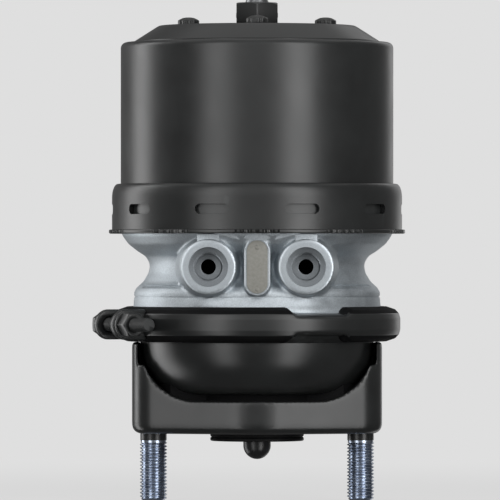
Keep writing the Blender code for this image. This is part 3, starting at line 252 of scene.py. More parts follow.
def revolved(corners: Sequence[Corner], steps: int = 180, closed: bool = True, points: int = 6,
             wave: Wave | None = None) -> Surface:
    """Turns a profile about the Z axis.

    Args:
        corners: the radius and the height of each corner, and its fillet if it has one.
        steps: how many points go round.
        closed: whether the last corner joins the first. A solid has both on the axis and leaves it open.
        points: how many steps each fillet takes.
        wave: gives new radii from the radii, the height and the angles from the front in degrees.

    Returns:
        The turned surface.
    """
    side = (np.degrees(around(steps) - FRONT) + 180) % 360 - 180
    rows = [(wave(np.full(steps, r), z, side) if wave else r, z) for r, z in rounded(corners, closed, points)]
    return lathe(rows, steps, closed)


def prism(outline: Sequence[Point], low: float, high: float) -> Surface:
    """Gives a flat outline its height.

    Args:
        outline: the (x, y) points.
        low: where it starts on Z.
        high: where it ends on Z.

    Returns:
        The closed prism.
    """
    return lofted([np.array([(x, y, z) for x, y in outline]) for z in (low, high)])


def box(x: Point, y: Point, z: Point) -> Surface:
    """Returns the block between these millimetres on each axis."""
    return prism([(x[0], y[0]), (x[1], y[0]), (x[1], y[1]), (x[0], y[1])], *z)


def hexagon(flats: float, low: float, high: float, bore: float = 0.0,
            ends: Sequence[bool] = (False, True)) -> Surface:
    """Makes a hexagon head or nut, with the turned chamfer that leaves curved edges on its flats.

    Args:
        flats: the distance across the flats.
        low: where it starts on Z.
        high: where it ends on Z.
        bore: the radius of its hole, or 0.
        ends: whether the low and the high end are chamfered.

    Returns:
        The head, with a corner on its own X axis.
    """
    steps = 120
    side = flats / 2 / np.cos(around(steps) % (math.pi / 3) - math.pi / 6)
    edge = flats / 2 * 0.96
    fall = (side - edge) * math.tan(math.radians(30))
    rows: list[Row] = [(bore, low)]
    rows += [(edge, low), (side, low + fall)] if ends[0] else [(side, low)]
    rows += [(side, high - fall), (edge, high)] if ends[1] else [(side, high)]
    return lathe(rows + [(bore, high)], steps, closed=bore > 0)


def threaded(radius: float, depth: float, pitch: float, low: float, high: float, chamfer: float,
             steps: int = 40, fine: int = 8) -> Surface:
    """Makes a rod with a helical thread and chamfered ends.

    Args:
        radius: the radius over the crests.
        depth: how deep the thread goes.
        pitch: the rise in one turn.
        low: where it starts on Z.
        high: where it ends on Z.
        chamfer: the drop in radius at each end.
        steps: how many points go round.
        fine: how many rows each turn of the thread takes.

    Returns:
        The closed rod.
    """
    rows: list[Row] = [(0.0, low)]
    for z in np.linspace(low, high, max(8, int((high - low) / pitch * fine))):
        groove = 0.5 - 0.5 * np.cos(FULL_TURN * z / pitch - around(steps))
        limit = max(radius - chamfer + min(z - low, high - z), 0.1)
        rows.append((np.minimum(radius - depth * groove, limit), z))
    return lathe(rows + [(0.0, high)], steps, closed=False)


def coiled(radii: Point, seats: Point, wire: float, turns: float, sides: int = 16) -> Surface:
    """Winds a conical coil spring of round wire.

    Args:
        radii: the coil's radius at its foot and at its head.
        seats: the height of the foot's seat and of the head's.
        wire: the wire's radius.
        turns: how many turns it has.
        sides: how many points go round the wire.

    Returns:
        The closed spring.
    """
    share = np.linspace(0, 1, int(turns * 72) + 1)
    radius = radii[0] + (radii[1] - radii[0]) * share
    height = seats[0] + wire + (seats[1] - seats[0] - 2 * wire) * share
    rim = around(sides)
    rows = []
    for r, z, a in zip(radius, height, FULL_TURN * turns * share):
        reach = r + wire * np.cos(rim)
        rows.append(np.stack([reach * math.cos(a), reach * math.sin(a), z + wire * np.sin(rim)], axis=1))
    return lofted(rows)


def obround(width: float, length: float, steps: int = 24) -> list[Point]:
    """Draws an outline with round ends.

    Args:
        width: its width, along X.
        length: its length, along Y.
        steps: how many steps each end takes.

    Returns:
        The outline's points.
    """
    top = arc((0.0, (length - width) / 2), (width / 2, width / 2), 0, 180, steps + 1)
    return top + [(-x, -y) for x, y in top]


def belt(circles: Sequence[Corner], steps: int = 24) -> list[Point]:
    """Draws the outline of a belt laid round circles.

    Args:
        circles: (x, y, radius) of each circle, anticlockwise.
        steps: how many steps each circle's arc takes.

    Returns:
        The outline's points.
    """
    normals = []
    for (x1, y1, r1), (x2, y2, r2) in zip(circles, [*circles[1:], circles[0]]):
        normals.append(math.atan2(y2 - y1, x2 - x1) - math.acos((r1 - r2) / math.hypot(x2 - x1, y2 - y1)))
    outline = []
    for i, (x, y, r) in enumerate(circles):
        start = math.degrees(normals[i - 1])
        sweep = math.degrees((normals[i] - normals[i - 1]) % FULL_TURN)
        outline += arc((x, y), (r, r), start, start + sweep, steps + 1)
    return outline


def mesh_of(surface: Surface, name: str) -> bpy.types.Mesh:
    """Turns a surface into a mesh in metres, with its faces outwards.

    Args:
        surface: the surface in millimetres.
        name: the mesh's name.

    Returns:
        The new mesh.
    """
    mesh = bpy.data.meshes.new(name)
    mesh.from_pydata((surface.points * MM).tolist(), [], surface.faces)
    shape = bmesh.new()
    shape.from_mesh(mesh)
    bmesh.ops.remove_doubles(shape, verts=shape.verts, dist=WELD)
    bmesh.ops.recalc_face_normals(shape, faces=shape.faces)
    shape.to_mesh(mesh)
    shape.free()
    return mesh


def add_object(name: str, data: object) -> bpy.types.Object:
    """Adds an object to the scene.

    Args:
        name: its name.
        data: its mesh, light or camera, or the surface that its mesh is made from.

    Returns:
        The new object.
    """
    made = bpy.data.objects.new(name, mesh_of(data, name) if isinstance(data, Surface) else data)
    bpy.context.scene.collection.objects.link(made)
    return made


def column(items: bpy.types.bpy_prop_collection, name: str) -> np.ndarray:
    """Reads one place of each item of a mesh.

    Args:
        items: the mesh's vertices or polygons.
        name: the place to read, such as "center".

    Returns:
        The places in millimetres.
    """
    values = np.empty(len(items) * 3)
    items.foreach_get(name, values)
    return values.reshape(-1, 3) / MM


def worked(surface: Surface, modifiers: Sequence[tuple[str, dict]]) -> Surface:
    """Runs modifiers over a surface.

    Args:
        surface: what they work on.
        modifiers: the type and the settings of each. A surface in the settings stands for an object.

    Returns:
        The surface that comes out.
    """
    made = [add_object("work", surface)]
    for kind, settings in modifiers:
        modifier = made[0].modifiers.new(kind, kind)
        for name, value in settings.items():
            if isinstance(value, Surface):
                value = add_object("tool", value)
                made.append(value)
            setattr(modifier, name, value)
    bpy.context.view_layer.update()
    mesh = bpy.data.meshes.new_from_object(made[0].evaluated_get(bpy.context.evaluated_depsgraph_get()))
    result = Surface(column(mesh.vertices, "co"), [tuple(polygon.vertices) for polygon in mesh.polygons])
    bpy.data.meshes.remove(mesh)
    for helper in made:
        used = helper.data
        bpy.data.objects.remove(helper)
        bpy.data.meshes.remove(used)
    return result


def carved(surface: Surface, tools: Sequence[Surface], union: bool = False,
           solver: Solver = Solver.EXACT) -> Surface:
    """Cuts tools out of a surface, or joins them to it.

    Args:
        surface: what is worked on.
        tools: the closed surfaces to cut or join.
        union: whether they are joined.
        solver: how the Boolean is worked out.

    Returns:
        The surface that comes out.
    """
    shared = {"operation": "UNION" if union else "DIFFERENCE", "solver": solver.value}
    return worked(surface, [("BOOLEAN", {**shared, "object": tool}) for tool in tools])


def cast(surface: Surface, grain: float, passes: int) -> Surface:
    """Melts overlapping shells into one skin with soft inner and outer corners, as a mould leaves them.

    Args:
        surface: the overlapping closed shells.
        grain: the size of the new faces.
        passes: how often the skin is smoothed.

    Returns:
        The skin.
    """
    return worked(surface, [("REMESH", {"mode": "VOXEL", "voxel_size": grain * MM}),
                            ("SMOOTH", {"factor": 0.5, "iterations": passes})])


def softened(surface: Surface, width: float, above: float = 35.0, steps: int = 2) -> Surface:
    """Rounds the sharp edges of a surface.

    Args:
        surface: what is rounded.
        width: the width of the rounding.
        above: the least angle that counts as sharp, in degrees.
        steps: how many faces it takes.

    Returns:
        The rounded surface.
    """
    settings = {"width": width * MM, "segments": steps, "limit_method": "ANGLE",
                "angle_limit": math.radians(above)}
    return worked(surface, [("BEVEL", settings)])


def srgb(colour: str) -> tuple[float, float, float, float]:
    """Turns a colour such as #1d1e1e to linear light.

    Args:
        colour: the sRGB colour in hex.

    Returns:
        Red, green, blue and alpha.
    """
    parts = [int(colour[i:i + 2], 16) / 255 for i in (1, 3, 5)]
    red, green, blue = (c / 12.92 if c <= 0.04045 else ((c + 0.055) / 1.055) ** 2.4 for c in parts)
    return red, green, blue, 1.0


def feed(tree: bpy.types.NodeTree, node: bpy.types.Node, inputs: dict) -> None:
    """Sets or links inputs of a node.

    Args:
        tree: the tree that the node is in.
        node: the node.
        inputs: a value or a socket to link from, for each input's name or number.
    """
    for key, value in inputs.items():
        if isinstance(value, bpy.types.NodeSocket):
            tree.links.new(value, node.inputs[key])
        else:
            node.inputs[key].default_value = value


def add_node(tree: bpy.types.NodeTree, kind: str, inputs: dict | None = None,
             **settings: object) -> bpy.types.Node:
    """Adds a node with its settings and links.

    Args:
        tree: the tree it goes into.
        kind: the node's type.
        inputs: a value or a socket to link from, for each input's name or number.
        **settings: values for the node's own attributes.

    Returns:
        The new node.
    """
    node = tree.nodes.new(kind)
    for name, value in settings.items():
        setattr(node, name, value)
    feed(tree, node, inputs or {})
    return node


@dataclass(frozen=True)
class Shading:
    """One material's node tree and its Principled shader, with the steps that every finish takes."""

    tree: bpy.types.NodeTree
    shader: bpy.types.Node

    def noise(self, size: float, detail: float) -> bpy.types.NodeSocket:
        """Adds an even noise.

        Args:
            size: the size of its patches in millimetres.
            detail: how many finer layers it has.

        Returns:
            A value round 0.5.
        """
        place = add_node(self.tree, "ShaderNodeTexCoord").outputs["Object"]
        inputs = {"Vector": place, "Scale": 1 / (size * MM), "Detail": detail}
        return add_node(self.tree, "ShaderNodeTexNoise", inputs).outputs["Fac"]

    def spread(self, value: bpy.types.NodeSocket, low: float, high: float, start: float = 0.3,
               end: float = 0.7) -> bpy.types.NodeSocket:
        """Stretches a value to a new range.

        Args:
            value: the value to stretch.
            low: the result at the start.
            high: the result at the end.
            start: the value that gives low.
            end: the value that gives high.

        Returns:
            The stretched value.
        """
        inputs = {"Value": value, "From Min": start, "From Max": end, "To Min": low, "To Max": high}
        return add_node(self.tree, "ShaderNodeMapRange", inputs).outputs["Result"]

    def mixed(self, share: bpy.types.NodeSocket, first: str | bpy.types.NodeSocket,
              second: str) -> bpy.types.NodeSocket:
        """Mixes two colours.

        Args:
            share: how much of the second one shows.
            first: a hex colour or a socket.
            second: a hex colour.

        Returns:
            The mixed colour.
        """
        inputs = {0: share, 6: srgb(first) if isinstance(first, str) else first, 7: srgb(second)}
        return add_node(self.tree, "ShaderNodeMix", inputs, data_type="RGBA").outputs[2]

    def edges(self, start: float, end: float) -> bpy.types.NodeSocket:
        """Finds the edges of the mesh, and its hollows where the range falls, for wear and painted shade.

        Args:
            start: the pointiness where the tint of worn edges and of painted shade in hollows starts.
            end: the pointiness where it is full, which is the lower one for the painted shade in hollows.

        Returns:
            A share from 0 to 1.
        """
        pointiness = add_node(self.tree, "ShaderNodeNewGeometry").outputs["Pointiness"]
        return self.spread(pointiness, 0.0, 1.0, start, end)

    def bump(self, height: bpy.types.NodeSocket, strength: float, depth: float,
             under: bpy.types.NodeSocket | None = None) -> bpy.types.NodeSocket:
        """Raises the surface with a height.

        Args:
            height: the height, from 0 to 1.
            strength: how strongly it shows.
            depth: the height's full depth in millimetres.
            under: another bump's normal that this one lies on.

        Returns:
            The new normal, which is also linked to the shader.
        """
        inputs: dict = {"Height": height, "Strength": strength, "Distance": depth * MM}
        if under is not None:
            inputs["Normal"] = under
        normal = add_node(self.tree, "ShaderNodeBump", inputs).outputs["Normal"]
        feed(self.tree, self.shader, {"Normal": normal})
        return normal


@dataclass(frozen=True)
class Finish:
    """A material, named for what it is and how its surface was made.

    Attributes:
        name: the material's name.
        slot: the material slot that it is meant for. It is not used.
        colour: its main colour.
        tint: the colour of its patches and its worn edges, and of the shade painted into its hollows.
        patch: the size of its patches in millimetres, and their detail.
        roughness: the least and the greatest roughness, which follows the patches unless both are the same.
        relief: the strength of its bump, and the bump's depth in millimetres.
        share: how much of the tint the patches show at most.
        gloss: how strongly a coat or a plastic reflects, or None for bare metal.
        wear_and_hollow_shade: the pointiness where the tint starts and where it is full; rising, it marks worn
            edges, falling, it paints shade into hollows.
        grain: the size and the detail of the bump, where it isn't that of the patches.
        pits: the size and the detail of dark pits.
        pit_colour: their colour.
    """

    name: str
    slot: str
    colour: str
    tint: str
    patch: Point
    roughness: Point
    relief: Point
    share: float = 1.0
    gloss: float | None = None
    wear_and_hollow_shade: Point | None = None
    grain: Point | None = None
    pits: Point | None = None
    pit_colour: str = "#858c92"

    def material(self) -> bpy.types.Material:
        """Makes the material, once.

        Returns:
            The material.
        """
        made = bpy.data.materials.get(self.name)
        if made is None:
            made = bpy.data.materials.new(self.name)
            made.use_nodes = True
            self.dress(Shading(made.node_tree, made.node_tree.nodes["Principled BSDF"]))
        return made

    def dress(self, shading: Shading) -> None:
        """Sets the shader up.

        Args:
            shading: the material's nodes.
        """
        patch = shading.noise(*self.patch)
        pits = shading.noise(*self.pits) if self.pits else None
        base = shading.mixed(shading.spread(patch, 0.0, self.share), self.colour, self.tint)
        if pits is not None:
            base = shading.mixed(shading.spread(pits, 0.30, 0.0, 0.35, 0.60), base, self.pit_colour)
        # Worn edges take the tint; where the pointiness range falls, hollows take it as painted shade.
        if self.wear_and_hollow_shade:
            base = shading.mixed(shading.edges(*self.wear_and_hollow_shade), base, self.tint)
        low, high = self.roughness
        rough = low if low == high else shading.spread(patch, low, high)
        kind = {"Metallic": 1.0} if self.gloss is None else {"Specular IOR Level": self.gloss}
        feed(shading.tree, shading.shader, {"Base Color": base, "Roughness": rough, **kind})
        under = shading.bump(shading.noise(*self.grain) if self.grain else patch, *self.relief)
        if pits is not None:
            shading.bump(pits, 0.45, 0.06, under)


# A cathodic dip coat is even and semi-gloss: long soft highlights, a faint orange peel and a thin film of dust.
COAT = Finish("black_electrocoat", "black_steel", "#1c1d1d", "#2f3131", (26.0, 3.0), (0.31, 0.38), (0.10, 0.02),
              share=0.35, gloss=0.5, wear_and_hollow_shade=(0.53, 0.58), grain=(1.4, 1.0))
# The same coat over blasted plate shows a finer grain and is a little brighter.
GRAINY = replace(COAT, name="black_coat_on_blasted_steel", colour="#1d1e1e", patch=(20.0, 3.0),
                 grain=(0.8, 1.0), roughness=(0.30, 0.36))
# Painted shade: a near black, dull coat with no highlight, laid on faces that lie in shade under other parts.
PAINTED_SHADE_COAT = replace(COAT, name="dark_matt_coat_as_painted_shade", colour="#0d0d0e", tint="#171718", patch=(20.0, 3.0),
               grain=(1.0, 1.0), roughness=(0.7, 0.8), gloss=0.1)
# Phosphated steel is oiled: nearly black, with a soft sheen.
BLACKED = replace(COAT, name="black_phosphated_steel", slot="bare_steel", colour="#1a1a1b", tint="#333436",
                  patch=(14.0, 3.0), grain=(0.9, 1.0), roughness=(0.34, 0.42))
# Painted spring wire is dark grey, duller than the coat.
SPRING = replace(COAT, name="painted_spring_steel", slot="spring_steel", colour="#33353a", tint="#4a4c52",
                 patch=(12.0, 3.0), grain=(1.0, 1.0), roughness=(0.35, 0.45))
# Shot leaves dimples of about 0.1 mm on the cast skin. They are drawn at 0.75 mm, the finest size that still
# shows as a grain.
CASTING = Finish("blasted_cast_aluminium", "cast_aluminium", "#bcc3c8", "#cfd5d9", (7.0, 4.0), (0.52, 0.64),
                 (0.25, 0.10), share=0.6, wear_and_hollow_shade=(0.52, 0.60), pits=(0.75, 2.0))
# A turned face is flat and clean. Its feed marks of 0.1 mm are drawn as specks of 0.6 mm.
TURNED = Finish("turned_aluminium", "cast_aluminium", "#b0b7bc", "#bcc3c8", (0.6, 2.0), (0.36, 0.46),
                (0.15, 0.02))
# Inside a port the same cut metal is darker, since it sees little light.
SUNK = replace(TURNED, name="counterbored_aluminium", colour="#7b8084", tint="#868b8f", roughness=(0.28, 0.36))
# The drilled hole is too deep for any light to come back out.
DEEP = replace(PAINTED_SHADE_COAT, name="unlit_drilled_aluminium", slot="cast_aluminium", colour="#050505", tint="#0a0a0a")
# Plating follows the turned steel under it: bright and uneven in tone, with painted shade darkening its
# hollows.
ZINC = Finish("blue_zinc_plate", "zinc_plated_steel", "#bcc5d3", "#8891a1", (6.0, 3.0), (0.24, 0.32),
              (0.10, 0.02), wear_and_hollow_shade=(0.46, 0.30))
# Bare turned steel is greyer and duller than the plated one, and keeps its painted shade in the hollows.
STEEL = replace(ZINC, name="bare_turned_steel", slot="bare_steel", colour="#8d8e90", tint="#6d6e70",
                patch=(3.0, 3.0), roughness=(0.3, 0.42))
# Rolled brass is yellow with a brown tarnish.
BRASS = replace(ZINC, name="rolled_brass", slot="brass_sheet", colour="#cfae6a", tint="#a98548",
                patch=(3.0, 3.0), roughness=(0.22, 0.34))
# Moulded rubber is matt with a fine grit and a dusty bloom in wide patches.
RUBBER = Finish("moulded_rubber", "black_rubber", "#0f0f10", "#1a1a1b", (10.8, 2.0), (0.62, 0.62), (0.25, 0.05),
                share=0.7, gloss=0.25, grain=(0.9, 3.0))
# Natural acetal is a creamy plastic, smoother than rubber.
ACETAL = replace(RUBBER, name="natural_acetal", slot="guide_plastic", colour="#c8c1ae", tint="#d6d0bf",
                 patch=(14.4, 2.0), roughness=(0.45, 0.45), grain=(1.2, 3.0))
# A warm grey coat on thin plate is flat and even, with hardly any sheen.
PLATE = Finish("blank_coated_plate", "blank_plate", "#8b8a83", "#979690", (1.6, 4.0), (0.5, 0.5), (0.1, 0.01),
               gloss=0.3, grain=(1.6 / 3, 1.0))


def make_piece(name: str, surface: Surface, finish: Finish, *nodes: str, body: Body | None = Body.ROOT,
               sharp: float = 38.0, others: Sequence[Finish] = (),
               chosen: Picker | None = None) -> bpy.types.Object:
    """Makes one piece of the object from a surface.

    Args:
        name: the piece's name.
        surface: its surface in millimetres.
        finish: its finish.
        *nodes: the nodes of the frame that it stands for.
        body: the body that it rides on, or None to leave it on no body.
        sharp: the angle from which an edge stays sharp, in degrees.
        others: its other finishes.
        chosen: tells each face's finish from the centres in millimetres: 0 for the first, then 1 and up.

    Returns:
        The new object.
    """
    piece = add_object(name, surface)
    mesh = piece.data
    mesh.shade_smooth()
    mesh.set_sharp_from_angle(angle=math.radians(sharp))
    for each in (finish, *others):
        mesh.materials.append(each.material())
    if chosen is not None:
        picks = chosen(column(mesh.polygons, "center"))
        mesh.polygons.foreach_set("material_index", picks.astype(np.int32))
    if body is not None:
        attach(piece, body.value)
    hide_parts(*nodes)
    LOG.info("%s: %d faces", name, len(mesh.polygons))
    return piece


def dress_node(name: str, finish: Finish) -> None:
    """Gives a node of the frame its finish.

    Args:
        name: the node's name.
        finish: its new finish.
    """
    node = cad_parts[name]
    for slot in node.material_slots:
        slot.material = finish.material()
    LOG.info("%s: dressed", name)


def turn(degrees: float, axis: str = "Z") -> Matrix:
    """Returns a turn about an axis. About Z, it takes the front to this angle, positive towards +X."""
    return Matrix.Rotation(math.radians(degrees), 4, axis)


def facing_front(x: float = 0.0, z: float = 0.0, y: float = 0.0) -> Matrix:
    """Returns a place whose own Z points to the front, with its X to the right and its Y up."""
    return Matrix.Translation((x, y, z)) @ turn(90, "X")


@dataclass
class SpringChamber:
    """The parking side's outside: pot, slotted locking ring, cover plate and its screws."""

    flange_z: float = 121.5
    pot_r: float = 79.4
    pot_wall: float = 3.5
    pot_top_z: float = 227.3
    pot_corner: float = 5.0
    lip_r: float = 72.3
    band_r: float = 81.3
    band_z: float = 137.3
    band_rise: float = 3.4
    ring_r: float = 84.5
    ring_inner_r: float = 81.7
    ring_top_z: float = 144.9
    ring_shoulder: float = 8.0
    ring_throat: float = 0.9
    ring_edge: float = 0.8
    ring_inner_rise: float = 4.0
    crimp_r: float = 86.3
    crimp_low_z: float = 115.9
    crimp_height: float = 2.4
    crimp_sheet: float = 1.1
    crimp_grip_r: float = 79.0
    notch_pitch: float = 2.9
    notch_reach: float = 8.4
    notch_depth: float = 1.5
    slots: int = 10
    slot_length: float = 20.5
    slot_height: float = 5.8
    slot_z: float = 130.0
    slot_cut: float = 4.2
    cover_top_z: float = 237.0
    cover_roof_z: float = 233.0
    cover_roof_r: float = 55.0
    cover_boss_r: float = 14.0
    cover_boss: float = 7.0
    cover_flat_r: float = 57.0
    cover_edge_r: float = 58.8
    cover_neck_r: float = 71.5
    cover_brim: float = 3.6
    cover_hole_r: float = 8.3
    screw_circle_r: float = 39.9
    screw_head_r: float = 6.25
    screw_head: float = 4.6
    screw_side: float = 2.7
    screw_dip: float = 0.35
    screw_flutes: int = 12
    screw_flute: float = 0.42
    screw_shank_r: float = 3.0
    screw_length: float = 7.6

    def build(self) -> None:
        """Builds the pot, the ring, the cover and the screws."""
        make_piece("pot_of_spring_chamber", self.pot(), COAT, "spring_housing")
        make_piece("slotted_locking_ring", self.ring(), COAT, "locking_ring", sharp=18.0)
        make_piece("cover_plate", self.cover(), COAT, "top_cover")
        for quarter, side in enumerate(("front", "right", "back", "left")):
            screw = self.screw().placed(turn(90 * quarter))
            make_piece("fluted_screw_" + side, screw, COAT, "cover_screw_" + side)

    def pot(self) -> Surface:
        """Makes the deep-drawn pot, from its flared band to its rolled lip.

        Returns:
            The pot's wall.
        """
        low, inner = self.flange_z + GAP, self.pot_r - self.pot_wall
        lip = self.pot_top_z - self.pot_wall
        return revolved([(self.lip_r, self.pot_top_z, 0.6), (self.pot_r, self.pot_top_z, self.pot_corner),
                         (self.pot_r, self.band_z + self.band_rise, 2.0), (self.band_r, self.band_z, 1.5),
                         (self.band_r, low), (inner, low), (inner, lip, 1.5), (self.lip_r, lip)], 240,
                        points=10)

    def ring(self) -> Surface:
        """Makes the locking ring with its slots and its notched crimp.

        Returns:
            The ring.
        """
        throat, inner = self.pot_r + self.ring_throat, self.ring_inner_r
        edge, high = throat + self.ring_edge, self.crimp_low_z + self.crimp_height
        shoulder_z = self.ring_top_z - self.ring_shoulder
        shoulder = arc((edge, shoulder_z), (self.ring_r - edge, self.ring_shoulder), 90, 0, 10)
        body = revolved([(throat, self.ring_top_z, 0.3), *shoulder, (self.ring_r, high - GAP),
                         (inner, high - GAP), (inner, self.band_z + GAP),
                         (throat, self.band_z + self.ring_inner_rise)], 240)
        outline = [(y, x) for x, y in reversed(obround(self.slot_height, self.slot_length, 12))]
        bar = prism(outline, -self.slot_cut, self.slot_cut).placed(facing_front(0, self.slot_z, -self.ring_r))
        bars = [bar.placed(turn(360 / self.slots * (k + 0.5))) for k in range(self.slots)]
        body = softened(carved(body, [joined(bars)]), 0.45, 50)
        grip, low = self.crimp_grip_r, self.crimp_low_z
        lip = low + self.crimp_sheet
        crimp = [(self.crimp_r, high, 0.7), (self.crimp_r, low, 0.9), (grip, low, 0.3), (grip, lip, 0.2),
                 (inner, lip, 0.4), (inner, high)]
        return joined([body, revolved(crimp, 960, points=4, wave=self.notched)])

    def notched(self, radius: np.ndarray, height: float, side: np.ndarray) -> np.ndarray:
        """Presses the crimping tool's notches into the rim.

        Args:
            radius: the radius at each angle.
            height: the row's height, which makes no difference.
            side: the angles from the front in degrees.

        Returns:
            The notched radius.
        """
        part = 360 / self.slots
        offset = (side + part / 2) % part - part / 2
        depth = self.notch_depth * (0.5 + 0.5 * np.cos(FULL_TURN * offset / self.notch_pitch)) ** 2
        inside = (np.abs(offset) < self.notch_reach) & (radius > self.crimp_r - 1.5)
        return radius - np.where(inside, depth, 0.0)

    def cover(self) -> Surface:
        """Makes the cover plate, pressed to a shallow cone.

        Returns:
            The plate with its five holes.
        """
        rim, inner = self.pot_top_z - self.pot_wall - GAP, self.pot_r - self.pot_wall - GAP
        roof, top, neck, boss = self.cover_roof_z, self.cover_top_z, self.cover_neck_r, self.cover_boss_r
        brim, low = rim - self.cover_brim, roof - self.cover_boss
        plate = revolved([(self.cover_hole_r, top, 0.4), (self.cover_flat_r, top, 2.5),
                          (self.cover_edge_r, top - 1, 1.6), (neck, self.pot_top_z + 2 * GAP, 1.4),
                          (neck, rim), (inner, rim, 0.4), (inner, brim, 0.6),
                          (neck - self.pot_wall, brim, 1.0), (self.cover_roof_r, roof, 1.0),
                          (boss, roof, 1.0), (boss, low, 0.5), (self.cover_hole_r, low)], 200)
        hole_r = self.screw_shank_r + GAP
        hole = revolved([(0, roof - PAST), (hole_r, roof - PAST), (hole_r, top + PAST), (0, top + PAST)], 32,
                        closed=False).shifted(y=-self.screw_circle_r)
        return carved(plate, [hole.placed(turn(90 * k)) for k in range(4)])

    def screw(self) -> Surface:
        """Makes a domed screw with its fluted side and its dimple.

        Returns:
            The front one of the four.
        """
        low = self.cover_top_z + GAP
        high, side, foot = low + self.screw_head, low + self.screw_side, low - self.screw_length
        r, shank, dip = self.screw_head_r, self.screw_shank_r, high - self.screw_dip
        head = [(0, dip), (0.9, dip, 0.2), (1.5, high, 0.3), (r * 0.55, dip, 3.0), (r * 0.88, side + 0.55, 1.2),
                (r, side, 0.35), (r, low, 0.3), (shank, low, 0.2), (shank, foot, 0.4), (0, foot)]
        return revolved(head, 144, closed=False, wave=self.fluted).shifted(y=-self.screw_circle_r)

    def fluted(self, radius: np.ndarray, height: float, side: np.ndarray) -> np.ndarray:
        """Presses the flutes into the side of a screw's head.

        Args:
            radius: the radius at each angle.
            height: the row's height, which makes no difference.
            side: the angles from the front in degrees.

        Returns:
            The fluted radius.
        """
        depth = self.screw_flute * (0.5 + 0.5 * np.cos(self.screw_flutes * (np.radians(side) + 0.2))) ** 1.5
        return radius - np.where(radius > self.screw_head_r * 0.93, depth, 0.0)


@dataclass
class ReleaseScrew:
    """The release screw: spindle, pinned hexagon and brass washer."""

    radius: float = 8.0
    end_r: float = 6.9
    tip_r: float = 6.1
    end: float = 5.7
    taper: float = 2.2
    mark_r: float = 1.4
    mark: float = 0.9
    foot_z: float = 98.2
    hex_flats: float = 24.0
    hex_low_z: float = 238.2
    hex_top_z: float = 250.5
    washer_r: float = 11.5
    washer_z: float = 237.3
    washer_sheet: float = 0.6
    pin_r: float = 1.5
    pin_z: float = 243.2
    pin_stand: float = 0.2
    thread_pitch: float = 2.0
    thread_depth: float = 1.1

    def build(self) -> None:
        """Builds the spindle, the hexagon, the pin and the washer."""
        rod = threaded(self.radius, self.thread_depth, self.thread_pitch, self.foot_z, self.hex_low_z, 0.3)
        spindle = joined([rod, self.spindle_end()])
        make_piece("threaded_release_spindle", spindle, STEEL, "release_spindle", body=Body.SPINDLE)
        nut = hexagon(self.hex_flats, self.hex_low_z, self.hex_top_z, self.radius + GAP, (True, True))
        nut = softened(carved(nut.placed(turn(90)), [self.pin(GAP)]), 0.3, 28)
        make_piece("release_hexagon", nut, COAT, "release_hex_nut", body=Body.SPINDLE)
        make_piece("spring_pin", self.pin(0.0), STEEL, "roll_pin", body=Body.SPINDLE)
        low, high, bore = self.washer_z, self.washer_z + self.washer_sheet, self.radius + 0.4
        washer = revolved([(self.washer_r, high, 0.2), (self.washer_r, low, 0.2), (bore, low, 0.1),
                           (bore, high, 0.1)], 96)
        make_piece("brass_washer", washer, BRASS, "thrust_washer")

    def spindle_end(self) -> Surface:
        """Makes the spindle's plain end, which stands out of the hexagon and has a centre mark.

        Returns:
            The end, bored for the pin.
        """
        hexagon_z, foot = self.hex_top_z, self.hex_low_z - 2 * GAP
        top = hexagon_z + self.end
        end = revolved([(0, top - self.mark), (self.mark_r, top, 0.2), (self.tip_r, top, 1.3),
                        (self.tip_r, hexagon_z + self.taper, 0.5), (self.end_r, hexagon_z, 0.2),
                        (self.radius, hexagon_z - GAP, 0.1), (self.radius, foot), (0, foot)], 96, closed=False)
        return carved(end, [self.pin(GAP)])

    def pin(self, clearance: float) -> Surface:
        """Makes the pin, or the tool for its hole.

        Args:
            clearance: how much larger it is than the pin.

        Returns:
            The pin along X.
        """
        half = self.hex_flats / 2 + self.pin_stand + clearance
        r = self.pin_r + clearance
        pin = revolved([(0, half), (r, half, 0.35), (r, -half, 0.35), (0, -half)], 40, closed=False)
        return pin.placed(Matrix.Translation((0, 0, self.pin_z)) @ turn(90, "Y"))


